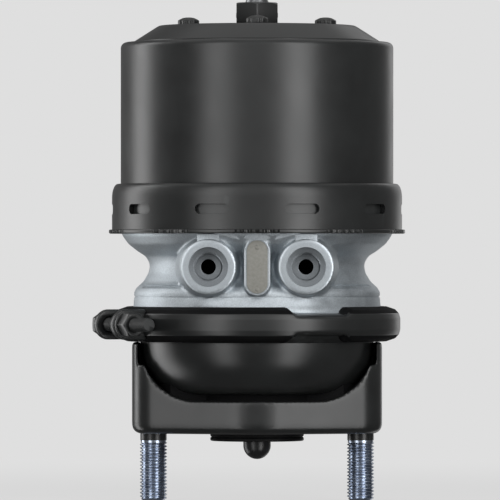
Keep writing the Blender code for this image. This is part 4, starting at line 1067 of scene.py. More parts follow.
@dataclass
class PortCasting:
    """The cast body between the chambers, with its air ports, bosses and blank plate."""

    low_z: float = 65.0
    roof_z: float = 90.0
    recess_z: float = 108.4
    flange_z: float = 121.5
    flange_r: float = 78.9
    rim_r: float = 81.2
    rim_low_z: float = 117.3
    rim_run: float = 6.0
    spigot_r: float = 75.5
    spigot_z: float = 126.4
    bore_r: float = 70.5
    recess_r: float = 60.5
    bush_r: float = 23.3
    bush_z: float = 98.9
    tube_r: float = 19.3
    chamber: tuple[Point, ...] = ((0, 90.0), (52.2, 90.0), (61.8, 84.7), (66.2, 78.3), (66.2, 64.0), (0, 64.0))
    joint_r: float = 77.5
    joint_edge: float = 3.2
    flank: float = 5.2
    foot_wall: float = 4.0
    foot_inner_r: float = 68.0
    neck: tuple[Corner, ...] = ((78.9, 117.5), (78.9, 116.3, 1.0), (78.2, 114.5, 1.5), (74.9, 109.9, 5.0),
                                (69.5, 105.6, 6.0), (65.0, 102.9, 5.0), (62.1, 98.2, 7.0), (63.2, 93.0, 4.0),
                                (66.3, 87.85, 3.0), (70.0, 84.65, 1.8), (71.7, 81.9, 1.2), (71.6, 79.6, 0.4),
                                (71.2, 79.2, 0.2), (71.6, 78.6, 0.4), (71.9, 74.9, 2.0), (72.3, 71.4, 1.0))
    port_x: float = 28.0
    port_z: float = 96.7
    face_y: float = 76.0
    face_r: float = 16.1
    facing_r: float = 24.0
    skirt_r: float = 17.9
    skirt_y: float = 62.0
    root_r: float = 19.2
    root_y: float = 50.0
    mouth_r: float = 11.3
    mouth_depth: float = 2.3
    thread_r: float = 7.9
    thread_depth: float = 12.0
    thread_pitch: float = 1.5
    thread_height: float = 0.75
    drill_r: float = 4.3
    drill_y: float = 38.0
    duct_r: float = 3.9
    pad_width: float = 12.9
    pad_depth: float = 0.7
    pad_low_z: float = 108.9
    pad_top_z: float = 115.7
    ledge: float = 56.0
    ledge_reach: float = 14.0
    ledge_ramp: float = 8.0
    ledge_depth: float = 1.7
    ledge_step: tuple[Point, ...] = ((68.6, 87.2), (67.4, 86.0), (69.3, 84.2), (72.5, 83.9), (72.5, 87.2))
    swelling: float = 23.0
    swelling_reach: float = 10.0
    swelling_z: float = 76.0
    swelling_rise: float = 6.0
    swelling_height: float = 2.6
    line_z: float = 79.3
    line_r: float = 71.1
    line_half: float = 0.4
    boss_width: float = 15.3
    boss_length: float = 33.8
    boss_y: float = 77.0
    boss_margin: float = 6.0
    plate_width: float = 12.0
    plate_margin: float = 0.9
    plate_sheet: float = 0.8
    plate_recess: float = 1.2
    dimple_r: float = 1.3
    dimple: float = 0.55
    dimple_z: Point = (107.9, 83.9)
    grain: float = 0.72
    skin_passes: int = 11

    def build(self) -> None:
        """Builds the casting and the blank plate."""
        make_piece("port_casting", self.machined(self.skin()), CASTING, "flange_housing", sharp=42.0,
                   others=(TURNED, SUNK, DEEP), chosen=self.cut_faces)
        make_piece("blank_plate", self.plate(), PLATE, "data_plate")

    def cut_faces(self, centres: np.ndarray) -> np.ndarray:
        """Picks the machined faces.

        Args:
            centres: the faces' centres.

        Returns:
            0 for a cast face, 1 for a turned one, 2 for one inside a port and 3 for one in its drilled hole.
        """
        x, y, z = centres.T
        away, depth = np.hypot(np.abs(x) - self.port_x, z - self.port_z), y + self.face_y
        port = (away < self.face_r + 0.1) & (depth < 0.2)
        rims = (z > self.rim_low_z - 0.1) | (z < self.low_z + 3.0)
        inside = (away < self.mouth_r + 0.02) & (depth < self.face_y - self.drill_y + 0.1) & (depth > 0.05)
        drilled = inside & (away < self.drill_r + 0.1) & (depth > self.thread_depth + 0.3)
        return np.where(drilled, 3, np.where(inside, 2, np.where(port | rims, 1, 0)))

    def skin(self) -> Surface:
        """Melts the neck, the port bosses and the plate's boss into one soft skin.

        Returns:
            The raw casting.
        """
        top, foot_r, foot = self.flange_z - PAST, self.joint_r - self.foot_wall, self.low_z + PAST
        solid = [(0, top), (self.flange_r, top), *self.neck, (foot_r, self.low_z + 5.0, 0.5), (foot_r, foot),
                 (0, foot)]
        shells = [revolved(solid, 240, closed=False, points=5, wave=self.swollen)]
        cone = revolved([(0, self.root_y), (self.root_r, self.root_y), (self.skirt_r, self.skirt_y, 3.0),
                         (self.face_r, self.face_y, 0.2), (0, self.face_y)], 96, closed=False)
        shells += [cone.placed(facing_front(side * self.port_x, self.port_z)) for side in (-1, 1)]
        boss = prism(obround(self.boss_width, self.boss_length), self.root_y, self.boss_y - 0.4)
        shells.append(boss.placed(facing_front(0, self.port_z)))
        return cast(joined(shells), self.grain, self.skin_passes)

    def swollen(self, radius: np.ndarray, height: float, side: np.ndarray) -> np.ndarray:
        """Raises the soft swelling of the wall under each port.

        Args:
            radius: the radius at each angle.
            height: the row's height.
            side: the angles from the front in degrees.

        Returns:
            The new radius.
        """
        across = (np.abs(side) - self.swelling) / self.swelling_reach
        share = np.exp(-across ** 2 - ((height - self.swelling_z) / self.swelling_rise) ** 2)
        return radius + np.where(radius > self.root_y, self.swelling_height * share, 0.0)

    def pad(self, side: int) -> Surface:
        """Makes the flat pad over one port.

        Args:
            side: -1 for the left port, 1 for the right one.

        Returns:
            The pad.
        """
        middle, half = side * self.port_x, self.pad_width / 2
        block = box((middle - half, middle + half), (self.pad_low_z, self.pad_top_z),
                    (self.skirt_y, self.face_y - self.pad_depth))
        return softened(block.placed(facing_front()), 0.4)

    def machined(self, skin: Surface) -> Surface:
        """Adds the turned rims to the skin, and cuts the chambers, the ports and the plate's seat.

        Args:
            skin: the casting's skin.

        Returns:
            The finished casting.
        """
        edge, low = self.low_z + self.joint_edge, self.rim_low_z
        head = [(0, self.spigot_z), (self.spigot_r, self.spigot_z, 0.4), (self.spigot_r, self.flange_z),
                (self.rim_r, self.flange_z, 0.4), (self.rim_r, low, 0.4), (self.rim_r - self.rim_run, low),
                (0, low - 3)]
        foot = [(0, edge + 6), (self.foot_inner_r, edge + 6),
                (self.joint_r - self.flank, edge + self.flank * V_SLOPE, 0.4), (self.joint_r, edge, 0.3),
                (self.joint_r, self.low_z, 0.3), (0, self.low_z)]
        rims = [revolved(line, 200, closed=False) for line in (head, foot)]
        body = carved(skin, [*rims, self.pad(-1), self.pad(1)], union=True, solver=Solver.MANIFOLD)
        top, middle, roof = self.spigot_z + PAST, self.recess_z + PAST, self.roof_z - PAST
        recess = [(0, top), (self.bore_r, top), (self.bore_r, low), (self.recess_r, self.recess_z),
                  (0, self.recess_z)]
        bore = [(0, middle), (self.bush_r, middle), (self.bush_r, self.bush_z), (self.tube_r, self.bush_z),
                (self.tube_r, roof), (0, roof)]
        tools = [revolved(line, 120, closed=False) for line in (self.chamber, recess, bore)]
        tools += self.port_tools(-1) + self.port_tools(1)
        plate_length = self.boss_length - self.boss_width + self.plate_width
        seat = obround(self.plate_width + self.plate_margin, plate_length + self.plate_margin)
        face = obround(self.boss_width + self.boss_margin, self.boss_length + self.boss_margin)
        for outline, depth in ((seat, self.plate_recess), (face, 0.15)):
            cut = prism(outline, self.boss_y - depth, self.boss_y + 5)
            tools.append(cut.placed(facing_front(0, self.port_z)))
        under, over = self.line_z - self.line_half, self.line_z + self.line_half
        groove = [(self.line_r, under), (self.line_r + 3, under), (self.line_r + 3, over), (self.line_r, over)]
        tools += [revolved(groove, 200), revolved(self.ledge_step, 200, wave=self.ledged)]
        body = carved(body, tools, solver=Solver.MANIFOLD)
        return joined([body, self.tapping(-1), self.tapping(1)])

    def ledged(self, radius: np.ndarray, height: float, side: np.ndarray) -> np.ndarray:
        """Keeps the ledge's tool clear of the neck, except at both front corners.

        Args:
            radius: the radius at each angle.
            height: the row's height, which makes no difference.
            side: the angles from the front in degrees.

        Returns:
            The tool's radius.
        """
        share = np.clip(1 - (np.abs(np.abs(side) - self.ledge) - self.ledge_reach) / self.ledge_ramp, 0, 1)
        return radius + np.where(share > 0, 0.4 + (1 - share) * self.ledge_depth, 40.0)

    def port_tools(self, side: int) -> list[Surface]:
        """Makes what is cut for one port.

        Args:
            side: -1 for the left port, 1 for the right one.

        Returns:
            The facing cut, the stepped bore and the duct to the port's chamber.
        """
        face, mouth, bore = self.face_y, self.mouth_r, self.thread_r + GAP
        shoulder, end = face - self.mouth_depth, face - self.thread_depth
        facing = [(0, face), (self.facing_r, face), (self.facing_r, face + 8), (0, face + 8)]
        steps = [(0, face + PAST), (mouth + GAP, face + PAST), (mouth, face - GAP, 0.1),
                 (mouth, shoulder + 0.1, 0.3), (bore, shoulder, 0.2), (bore, end, 0.2),
                 (self.drill_r, end, 0.3), (self.drill_r, self.drill_y), (0, self.drill_y)]
        low, high = (self.roof_z - PAST, self.port_z) if side < 0 else (self.port_z, self.recess_z + PAST)
        duct = revolved([(0, low), (self.duct_r, low), (self.duct_r, high), (0, high)], 24, closed=False)
        x = side * self.port_x
        cuts = [revolved(line, count, closed=False).placed(facing_front(x, self.port_z))
                for line, count in ((facing, 64), (steps, 96))]
        return cuts + [duct.shifted(x=x, y=-self.drill_y - self.duct_r)]

    def tapping(self, side: int) -> Surface:
        """Makes the tapped thread in one port.

        Args:
            side: -1 for the left port, 1 for the right one.

        Returns:
            A sleeve with the thread on its inside.
        """
        steps = 64
        low, high = self.face_y - self.thread_depth + 0.4, self.face_y - self.mouth_depth - 0.2
        rows: list[Row] = []
        for y in np.linspace(low, high, int((high - low) / self.thread_pitch * 8)):
            phase = (y / self.thread_pitch - around(steps) / FULL_TURN) % 1.0
            crest = np.clip(1.3 * (1 - np.abs(2 * phase - 1)) - 0.15, 0, 1)
            rows.append((self.thread_r + 0.2 - self.thread_height * crest, y))
        outer = self.thread_r + 2 * GAP
        sleeve = lathe(rows + [(outer, high), (outer, low)], steps)
        return sleeve.placed(facing_front(side * self.port_x, self.port_z))

    def plate(self) -> Surface:
        """Makes the blank plate, with the two dimples of its pins.

        Returns:
            The plate on its boss.
        """
        outline = obround(self.plate_width, self.boss_length - self.boss_width + self.plate_width, 32)
        low = self.boss_y - self.plate_recess + GAP
        high = low + self.plate_sheet
        parts = [softened(prism(outline, low, high), 0.2, 50).placed(facing_front(0, self.port_z))]
        dome = arc((0.0, high), (self.dimple_r, self.dimple), 90, 0, 7)
        dimple = revolved([*dome, (self.dimple_r, high - GAP), (0, high - GAP)], 40, closed=False)
        return joined(parts + [dimple.placed(facing_front(0, z)) for z in self.dimple_z])


@dataclass
class ClampRing:
    """The V clamp round the joint, with its ears, bolt, nut and washer."""

    joint_z: float = 63.45
    radius: float = 83.5
    half: float = 10.15
    face: float = 3.25
    lip_r: float = 75.5
    throat_r: float = 72.8
    floor_r: float = 77.8
    floor_half: float = 4.9
    flange_half: float = 6.3
    throat_half: float = 8.1
    shoulder: Point = (80.5, 8.45)
    side: Point = (82.7, 6.05)
    seam_gap: float = 4.6
    seam: float = -60.0
    ear_spacing: float = 15.4
    ear_thickness: float = 4.0
    ear_r: float = 8.7
    ear_axis_r: float = 93.5
    ear_root_r: float = 80.5
    relief: float = 27.5
    relief_reach: float = 11.0
    relief_ramp: float = 4.2
    relief_depth: float = 3.6
    bolt_r: float = 4.0
    bolt_flats: float = 13.0
    bolt_head: float = 5.3
    bolt_end: float = 16.5
    bolt_pitch: float = 1.25
    bolt_thread: float = 0.75
    nut: float = 8.0
    washer_r: float = 8.0
    washer_sheet: float = 1.6

    def build(self) -> None:
        """Builds the ring and its fasteners."""
        band = joined([self.band(), *self.ears()])
        # The flanges get the dark matt coat as painted shade.
        make_piece("clamp_band", band, COAT, "clamp_ring", others=(PAINTED_SHADE_COAT,), chosen=self.shaded_flange_faces)
        low, bore = self.ear_spacing / 2 + self.ear_thickness + GAP, self.bolt_r + 0.4
        high = low + self.washer_sheet
        nut_low = high + GAP
        nut_high = nut_low + self.nut
        head = hexagon(self.bolt_flats, -low - self.bolt_head, -low, ends=(True, False)).placed(turn(30))
        tip = nut_high + self.bolt_end
        shank = threaded(self.bolt_r, self.bolt_thread, self.bolt_pitch, -low - PAST, tip, 0.5)
        nut = softened(hexagon(self.bolt_flats, nut_low, nut_high, self.bolt_r + 0.1), 0.2, 28)
        washer = revolved([(self.washer_r, low, 0.3), (self.washer_r, high, 0.4), (bore, high, 0.1),
                           (bore, low, 0.1)], 72)
        make_piece("clamp_bolt_and_thread", joined([head, shank]).placed(self.axis()), COAT, "clamp_bolt")
        make_piece("clamp_bolt_nut", nut.placed(self.axis()), COAT, "clamp_nut")
        make_piece("clamp_bolt_washer", washer.placed(self.axis()), COAT, "clamp_washer")

    def shaded_flange_faces(self, centres: np.ndarray) -> np.ndarray:
        """Picks the ring's two sloping flanges, which get the dark matt coat as painted shade.

        Args:
            centres: the faces' centres.

        Returns:
            1 for a face of a flange and 0 for the others.
        """
        x, y, z = centres.T
        return (np.abs(z - self.joint_z) > self.flange_half) & (np.hypot(x, y) < self.radius)

    def frame(self) -> Matrix:
        """Returns the seam's place: X outwards, Y along the bolt to its nut, Z up."""
        return Matrix.Translation((0, 0, self.joint_z)) @ turn(self.seam - 90)

    def axis(self) -> Matrix:
        """Returns the bolt's place, whose Z runs to the nut."""
        return self.frame() @ Matrix.Translation((self.ear_axis_r, 0, 0)) @ turn(-90, "X")

    def band(self) -> Surface:
        """Sweeps the V section round the joint, open at its seam and cut back at its relief.

        Returns:
            The ring without its ears.
        """
        gap = math.degrees(self.seam_gap / 2 / self.radius)
        rows = []
        for angle in np.linspace(self.seam + gap, self.seam + 360 - gap, 300):
            r, z = np.array(rounded(self.section(self.cut_back(angle)), points=4)).T
            a = math.radians(angle) + FRONT
            rows.append(np.stack([r * math.cos(a), r * math.sin(a), z + self.joint_z], axis=1))
        return lofted(rows)

    def cut_back(self, angle: float) -> float:
        """Tells how far the edges are cut back.

        Args:
            angle: the place round the ring in degrees from the front.

        Returns:
            The depth of the relief there, in millimetres.
        """
        away = abs((angle - self.relief + 180) % 360 - 180) - self.relief_reach
        share = min(1.0, max(0.0, 1 - away / self.relief_ramp))
        return self.relief_depth * share * share * (3 - 2 * share)

    def section(self, cut: float) -> list[Corner]:
        """Draws the ring's section.

        Args:
            cut: how far both edges are cut back.

        Returns:
            Its corners about the joint's height.
        """
        top = self.half - cut
        throat = min(self.throat_half, top - 0.3)
        outer = [(self.throat_r, top, 0.3), (self.lip_r, top, 1.2),
                 (self.shoulder[0], min(self.shoulder[1], top - 0.9), 2.0),
                 (self.side[0], min(self.side[1], top - 2.0), 1.4), (self.radius, self.face, 2.5)]
        low = [(r, -z, fillet) for r, z, fillet in reversed(outer)]
        return outer + low + [(self.throat_r, -throat, 0.2), (self.floor_r, -self.floor_half, 0.2),
                              (self.floor_r, self.floor_half, 0.2), (self.throat_r, throat, 0.2)]

    def ears(self) -> list[Surface]:
        """Makes the two rounded ears, each with the bolt's hole.

        Returns:
            The ears at the seam.
        """
        ends = arc((self.ear_axis_r, 0.0), (self.ear_r, self.ear_r), -90, 90, 25)
        outline = ends + [(self.ear_root_r, self.ear_r), (self.ear_root_r, -self.ear_r)]
        half, bore = self.ear_thickness / 2, self.bolt_r + 0.4
        hole = revolved([(0, -5), (bore, -5), (bore, 5), (0, 5)], 40, closed=False).shifted(x=self.ear_axis_r)
        ear = softened(carved(prism(outline, -half, half), [hole]), 0.8, 50, 3)
        across = self.ear_spacing / 2 + half
        return [ear.placed(self.frame() @ Matrix.Translation((0, side * across, 0)) @ turn(90, "X"))
                for side in (-1, 1)]


@dataclass
class ServiceChamber:
    """The service side's outside: pot, bracket, studs and mounting seal."""

    rim_z: float = 61.9
    rim_r: float = 77.5
    rim_edge: float = 3.2
    flank: float = 5.2
    flank_foot: float = 2.4
    pot_r: float = 68.0
    wall: float = 3.5
    floor_z: float = 18.0
    corner_r: float = 33.0
    corner_z: float = 52.1
    belly_r: float = 20.8
    belly: float = 44.6
    corner_wall: float = 1.5
    collar_r: float = 42.0
    saddle_y: float = 30.0
    saddle_start: float = 45.0
    shaded_gap_r: float = 59.0
    shaded_gap_z: float = 29.0
    bracket_corner: Corner = (56.0, 14.3, 16.6)
    bracket_nose: float = 48.0
    bracket_low_z: float = -0.1
    bracket_top_z: float = 52.9
    post_x: float = 69.3
    post_y: float = 8.0
    post_z: float = 40.0
    cradle_half: float = 67.5
    cradle_r: float = 33.0
    cradle_z: float = 19.1
    foot_edge: float = 5.2
    ledge_z: float = 5.0
    well_r: float = 23.0
    well_top_z: float = 21.5
    spring_r: float = 30.5
    hole_r: float = 19.0
    stud_x: float = 60.325
    stud_r: float = 7.9
    stud_depth: float = 1.25
    stud_pitch: float = 2.0
    stud_shank_r: float = 7.7
    stud_shank: float = 4.4
    stud_plain: float = 1.6
    stud_plain_r: float = 7.4
    stud_reach: float = 39.5
    stud_grip: float = 21.7
    seal_r: float = 27.25
    seal_depth: float = 4.7
    seal_spigot: float = 4.5
    seal_bore_r: float = 15.5
    seal_groove: float = 0.7
    grain: float = 0.9
    skin_passes: int = 14

    def build(self) -> None:
        """Builds the housing, the studs and the seal."""
        # The faces in the gap between pot and bracket get the dark matt coat as painted shade.
        make_piece("service_pot_and_bracket", self.housing(), COAT, "service_housing", others=(GRAINY, PAINTED_SHADE_COAT),
                   chosen=self.bracket_faces)
        for name, side in (("left", -1), ("right", 1)):
            make_piece("threaded_stud_" + name, self.stud().shifted(x=side * self.stud_x), ZINC, "stud_" + name,
                       sharp=75.0, others=(COAT,), chosen=self.collar_faces)
        make_piece("mounting_face_seal", self.seal(), RUBBER, "mounting_seal")

    def plan(self, inset: float = 0.0) -> list[Point]:
        """Draws the bracket's outline: a blunt nose front and back, and two round corners on each side.

        Args:
            inset: how far inside the bracket's outside it lies.

        Returns:
            The outline's points.
        """
        x, y, r = self.bracket_corner
        nose, r = self.bracket_nose - inset, r - inset
        return belt([(0.0, 0.0, nose), (x, -y, r), (x, y, r), (0.0, 0.0, nose), (-x, y, r), (-x, -y, r)])

    def bracket_faces(self, centres: np.ndarray) -> np.ndarray:
        """Picks the bracket's faces outside the pot, and those in the narrow gap between both, where shade is
        painted.

        Args:
            centres: the faces' centres.

        Returns:
            0 for a face of the pot, 1 for one of the bracket and 2 for one in the gap, painted with shade.
        """
        x, y, z = centres.T
        r = np.hypot(x, y)
        line_r, line_z = np.array(self.dome())[::-1].T
        outside = z < np.interp(r, line_r, line_z, left=line_z[0], right=self.bracket_top_z) - 0.25
        # The gap and the pot's collar lie in shade, which is painted on them with the dark matt coat.
        gap = (r > self.collar_r - 0.5) & (r < self.shaded_gap_r) & (np.abs(y) < self.saddle_y + 0.1)
        gap |= np.abs(r - self.collar_r) < 0.3
        return np.where(gap & (z > self.cradle_z - 0.7) & (z < self.shaded_gap_z), 2, np.where(outside, 1, 0))

    def housing(self) -> Surface:
        """Makes the pot and the bracket that is welded under it.

        Returns:
            Both, with the seats between them.
        """
        edge, inner = self.rim_z - self.rim_edge, self.pot_r - self.wall
        taper = edge - self.flank * V_SLOPE
        rim = [(inner, self.rim_z), (self.rim_r, self.rim_z, 0.3), (self.rim_r, edge, 0.3),
               (self.rim_r - self.flank, taper, 0.8), (self.pot_r, taper - self.flank_foot, 1.5),
               (self.pot_r, self.corner_z + 1)]
        line = self.dome()
        bottom = line[-1][1]
        foot = [(self.collar_r, bottom), (self.collar_r, self.floor_z), (self.well_r, self.floor_z),
                (self.well_r, self.well_top_z), (self.spring_r, self.well_top_z),
                (self.spring_r, bottom + self.corner_wall)]
        start = math.degrees(math.acos((self.corner_r - self.wall) / (self.corner_r - self.corner_wall)))
        inside = reversed(self.dome(self.corner_wall, start))
        return joined([revolved([*rim, *line, *foot, *inside], 200), self.bracket(), self.saddle()])

    def dome(self, offset: float = 0.0, start: float = 0.0) -> list[Point]:
        """Draws the pot's round corner, which curves in more tightly towards its flat bottom.

        Args:
            offset: how far inside the pot's outside the line lies.
            start: the angle below the horizontal where it starts, in degrees.

        Returns:
            The line from its top to its bottom.
        """
        bend, shift = math.radians(self.belly), self.corner_r - self.belly_r
        middle = (self.pot_r - self.corner_r, self.corner_z)
        lower = (middle[0] + shift * math.cos(bend), middle[1] - shift * math.sin(bend))
        wide, tight = self.corner_r - offset, self.belly_r - offset
        line = arc(middle, (wide, -wide), start, self.belly, 20)
        return line + arc(lower, (tight, -tight), self.belly, 90, 14)[1:]

    def saddle(self) -> Surface:
        """Makes the seats that carry the pot's round corner in the cradle.

        Returns:
            The left and the right one.
        """
        low, inner = self.cradle_z - 2 * GAP, self.collar_r - 2
        line = [(r, z + 0.2) for r, z in reversed(self.dome(start=self.saddle_start))]
        ring = revolved([(inner, low), (inner, line[0][1]), *line, (line[-1][0], low)], 160)
        ends = [box((-FAR, FAR), (y, y + FAR), (0, 60)) for y in (self.saddle_y, -self.saddle_y - FAR)]
        return carved(ring, ends, solver=Solver.MANIFOLD)

    def bracket(self) -> Surface:
        """Makes the bracket: a soft-edged block with a cradle for the pot and a well for the rod.

        Returns:
            The bracket with its holes.
        """
        middle = (self.cradle_half - self.cradle_r, self.cradle_z + self.cradle_r)
        cradle = [(self.cradle_half, FAR), *arc(middle, (self.cradle_r, -self.cradle_r), 0, 90, 24)]
        cradle += [(-x, z) for x, z in reversed(cradle)]
        tools = [prism(cradle, -70, 70).placed(facing_front())]
        sides = (-FAR, -self.post_y), (self.post_y, FAR)
        tools += [box((-self.post_x, self.post_x), y, (self.post_z, FAR)) for y in sides]
        block = cast(carved(self.block(), tools), self.grain, self.skin_passes)
        flat = box((-FAR, FAR), (-60, 60), (-10, 0.0))
        well = [(0, 60), (self.well_r, 60), (self.well_r, self.ledge_z), (self.hole_r, self.ledge_z),
                (self.hole_r, -PAST), (0, -PAST)]
        hole_r, top = self.stud_r + GAP, self.stud_grip + GAP
        hole = revolved([(0, -PAST), (hole_r, -PAST), (hole_r, top), (0, top)], 40, closed=False)
        holes = [hole.shifted(x=side * self.stud_x) for side in (-1, 1)]
        return carved(block, [flat, revolved(well, 96, closed=False), *holes], solver=Solver.MANIFOLD)

    def block(self) -> Surface:
        """Makes the bracket's solid block, with the edge of its mounting face rounded.

        Returns:
            The block.
        """
        edge = self.foot_edge
        rows = [(inset, z + self.bracket_low_z) for inset, z in arc((edge, edge), (-edge, -edge), 90, 0, 9)]
        rows.append((0.0, self.bracket_top_z))
        return lofted([np.array([(x, y, z) for x, y in self.plan(inset)]) for inset, z in rows])

    def stud(self) -> Surface:
        """Makes one stud: grip, black collar and rolled thread.

        Returns:
            The stud on the cylinder's axis.
        """
        low, plain, grip = -self.stud_shank, -self.stud_shank - self.stud_plain, self.stud_grip
        thread = threaded(self.stud_r, self.stud_depth, self.stud_pitch, -self.stud_reach, low, 1.6, 64, 16)
        shank = [(0, grip), (self.stud_r, grip, 0.5), (self.stud_r, GAP, 0.2), (self.stud_shank_r, GAP),
                 (self.stud_shank_r, low, 0.2), (self.stud_plain_r, low), (self.stud_plain_r, plain, 0.3),
                 (0, plain)]
        return joined([thread, revolved(shank, 64, closed=False)])

    def collar_faces(self, centres: np.ndarray) -> np.ndarray:
        """Picks the stud's faces above its thread.

        Args:
            centres: the faces' centres.

        Returns:
            1 for a face of the collar and 0 for one of the thread.
        """
        return centres[:, 2] > -self.stud_shank - 0.05

    def seal(self) -> Surface:
        """Makes the seal with the groove in its side.

        Returns:
            The seal.
        """
        middle, groove, spigot_r = -self.seal_depth / 2, self.seal_groove, self.hole_r - GAP
        return revolved([(spigot_r, self.seal_spigot, 0.6), (spigot_r, -GAP, 0.2), (self.seal_r, -GAP, 0.5),
                         (self.seal_r, middle + groove, 0.3), (self.seal_r - groove, middle, 0.2),
                         (self.seal_r, middle - groove, 0.3), (self.seal_r, -self.seal_depth, 0.8),
                         (self.seal_bore_r, -self.seal_depth, 0.8),
                         (self.seal_bore_r, self.seal_spigot, 0.5)], 120)


@dataclass
class PushRodSet:
    """What moves on the service side: rod, plate, boot, return spring and diaphragm."""

    joint: str = "push_rod_stroke"
    stroke: float = 57.0
    rod_r: float = 8.0
    reach: float = 15.4
    foot_z: float = 5.3
    top_z: float = 83.1
    boot_r: float = 19.0
    waist_r: float = 12.5
    boot_wall: float = 1.5
    boot_flange: float = 2.0
    boot_fold_z: float = 9.8
    folds: int = 4
    flange_r: float = 22.7
    spring_foot_z: float = 21.8
    spring_radii: Point = (28.0, 46.0)
    wire: float = 2.0
    spring_turns: float = 4.0
    bead_low_z: float = 62.2
    bead_top_z: float = 64.7
    bead_r: float = 74.5
    skirt_r: float = 65.9
    rubber: float = 3.0
    dome: tuple[Corner, ...] = ((51.9, 89.7, 3.0), (61.5, 84.4, 4.0), (65.9, 78.0, 5.0))
    dome_inside: tuple[Corner, ...] = ((62.9, 75.0, 4.0), (58.5, 81.4, 4.0), (48.9, 86.7, 3.0))
    blend_from_z: float = 66.0
    blend_to_z: float = 86.0

    def build(self) -> None:
        """Builds the rod, the boot, the spring and the diaphragm, and dresses the plate and the ring."""
        ball = arc((0.0, self.rod_r - self.reach), (self.rod_r, -self.rod_r), 0, 90, 16)
        rod = revolved([(0, self.top_z), (self.rod_r, self.top_z), *ball], 96, closed=False)
        make_piece("ball_ended_rod", rod, BLACKED, "push_rod", body=Body.ROD)
        dress_node("pressure_plate", STEEL)
        dress_node("boot_ring", STEEL)
        self.press(make_piece("bellows_boot", self.boot(), RUBBER, "rod_boot"))
        spring = coiled(self.spring_radii, (self.spring_foot_z, self.top_z), self.wire, self.spring_turns)
        self.press(make_piece("wound_return_spring", spring, SPRING, "return_spring"))
        skin = make_piece("domed_diaphragm", self.diaphragm(), RUBBER, "diaphragm", body=None)
        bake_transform(skin)

    def press(self, piece: bpy.types.Object) -> None:
        """Gives a piece between the foot and the plate its own copy of its mesh.

        Args:
            piece: the piece between the foot and the plate.
        """
        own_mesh(piece)

    def boot(self) -> Surface:
        """Makes the bellows, wider at its foot.

        Returns:
            The boot.
        """
        pitch, high = (self.top_z - self.boot_fold_z) / (2 * self.folds), self.foot_z + self.boot_flange
        outer = [(self.waist_r if i % 2 else self.boot_r, self.top_z - pitch * i, 1.6)
                 for i in range(2 * self.folds + 1)]
        foot = [(self.boot_r, high, 0.2), (self.flange_r, high, 0.3), (self.flange_r, self.foot_z, 0.3),
                (self.boot_r - self.boot_wall, self.foot_z, 0.3)]
        inner = [(r - self.boot_wall, z, 1.0) for r, z, _ in reversed(outer)]
        return revolved(outer + foot + inner, 72, points=4)

    def diaphragm(self) -> Surface:
        """Makes the diaphragm with its bead in the joint.

        Returns:
            The diaphragm.
        """
        low, high = self.bead_low_z, self.bead_top_z
        bead = [(self.skirt_r, high, 0.5), (self.bead_r, high, 0.6), (self.bead_r, low, 0.6),
                (self.skirt_r - self.rubber, low, 0.5)]
        top = self.dome[0][1]
        inside = [*self.dome_inside, (0, top - self.rubber)]
        return revolved([(0, top), *self.dome, *bead, *inside], 96, closed=False)


@dataclass
class ParkingSet:
    """What moves on the parking side, and the pieces that guide it."""

    spring_radii: Point = (50.0, 30.0)
    seats: Point = (171.3, 230.4)
    wire: float = 5.0
    turns: float = 5.0
    finishes: dict[str, Finish] = field(default_factory=lambda: {
        "parking_piston": CASTING, "piston_seal": RUBBER, "piston_guide_ring": ACETAL, "breather_valve": ACETAL,
        "piston_tube": STEEL, "tube_end_plug": STEEL, "tube_seal": RUBBER, "tube_guide_bush": ACETAL,
        "spindle_nut": STEEL, "upper_spring_seat": STEEL, "housing_o_ring": RUBBER})

    def build(self) -> None:
        """Dresses the inner nodes and builds the power spring."""
        for node, finish in self.finishes.items():
            dress_node(node, finish)
        coil = coiled(self.spring_radii, self.seats, self.wire, self.turns, 20)
        spring = make_piece("wound_power_spring", coil, SPRING, "power_spring", body=None)
        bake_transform(spring)


@dataclass(frozen=True)
class Strip:
    """One tall soft light.

    Attributes:
        azimuth: where it stands, in degrees from the front, positive to the right.
        width: its width in metres.
        radiance: how bright its face is.
    """

    azimuth: float
    width: float
    radiance: float


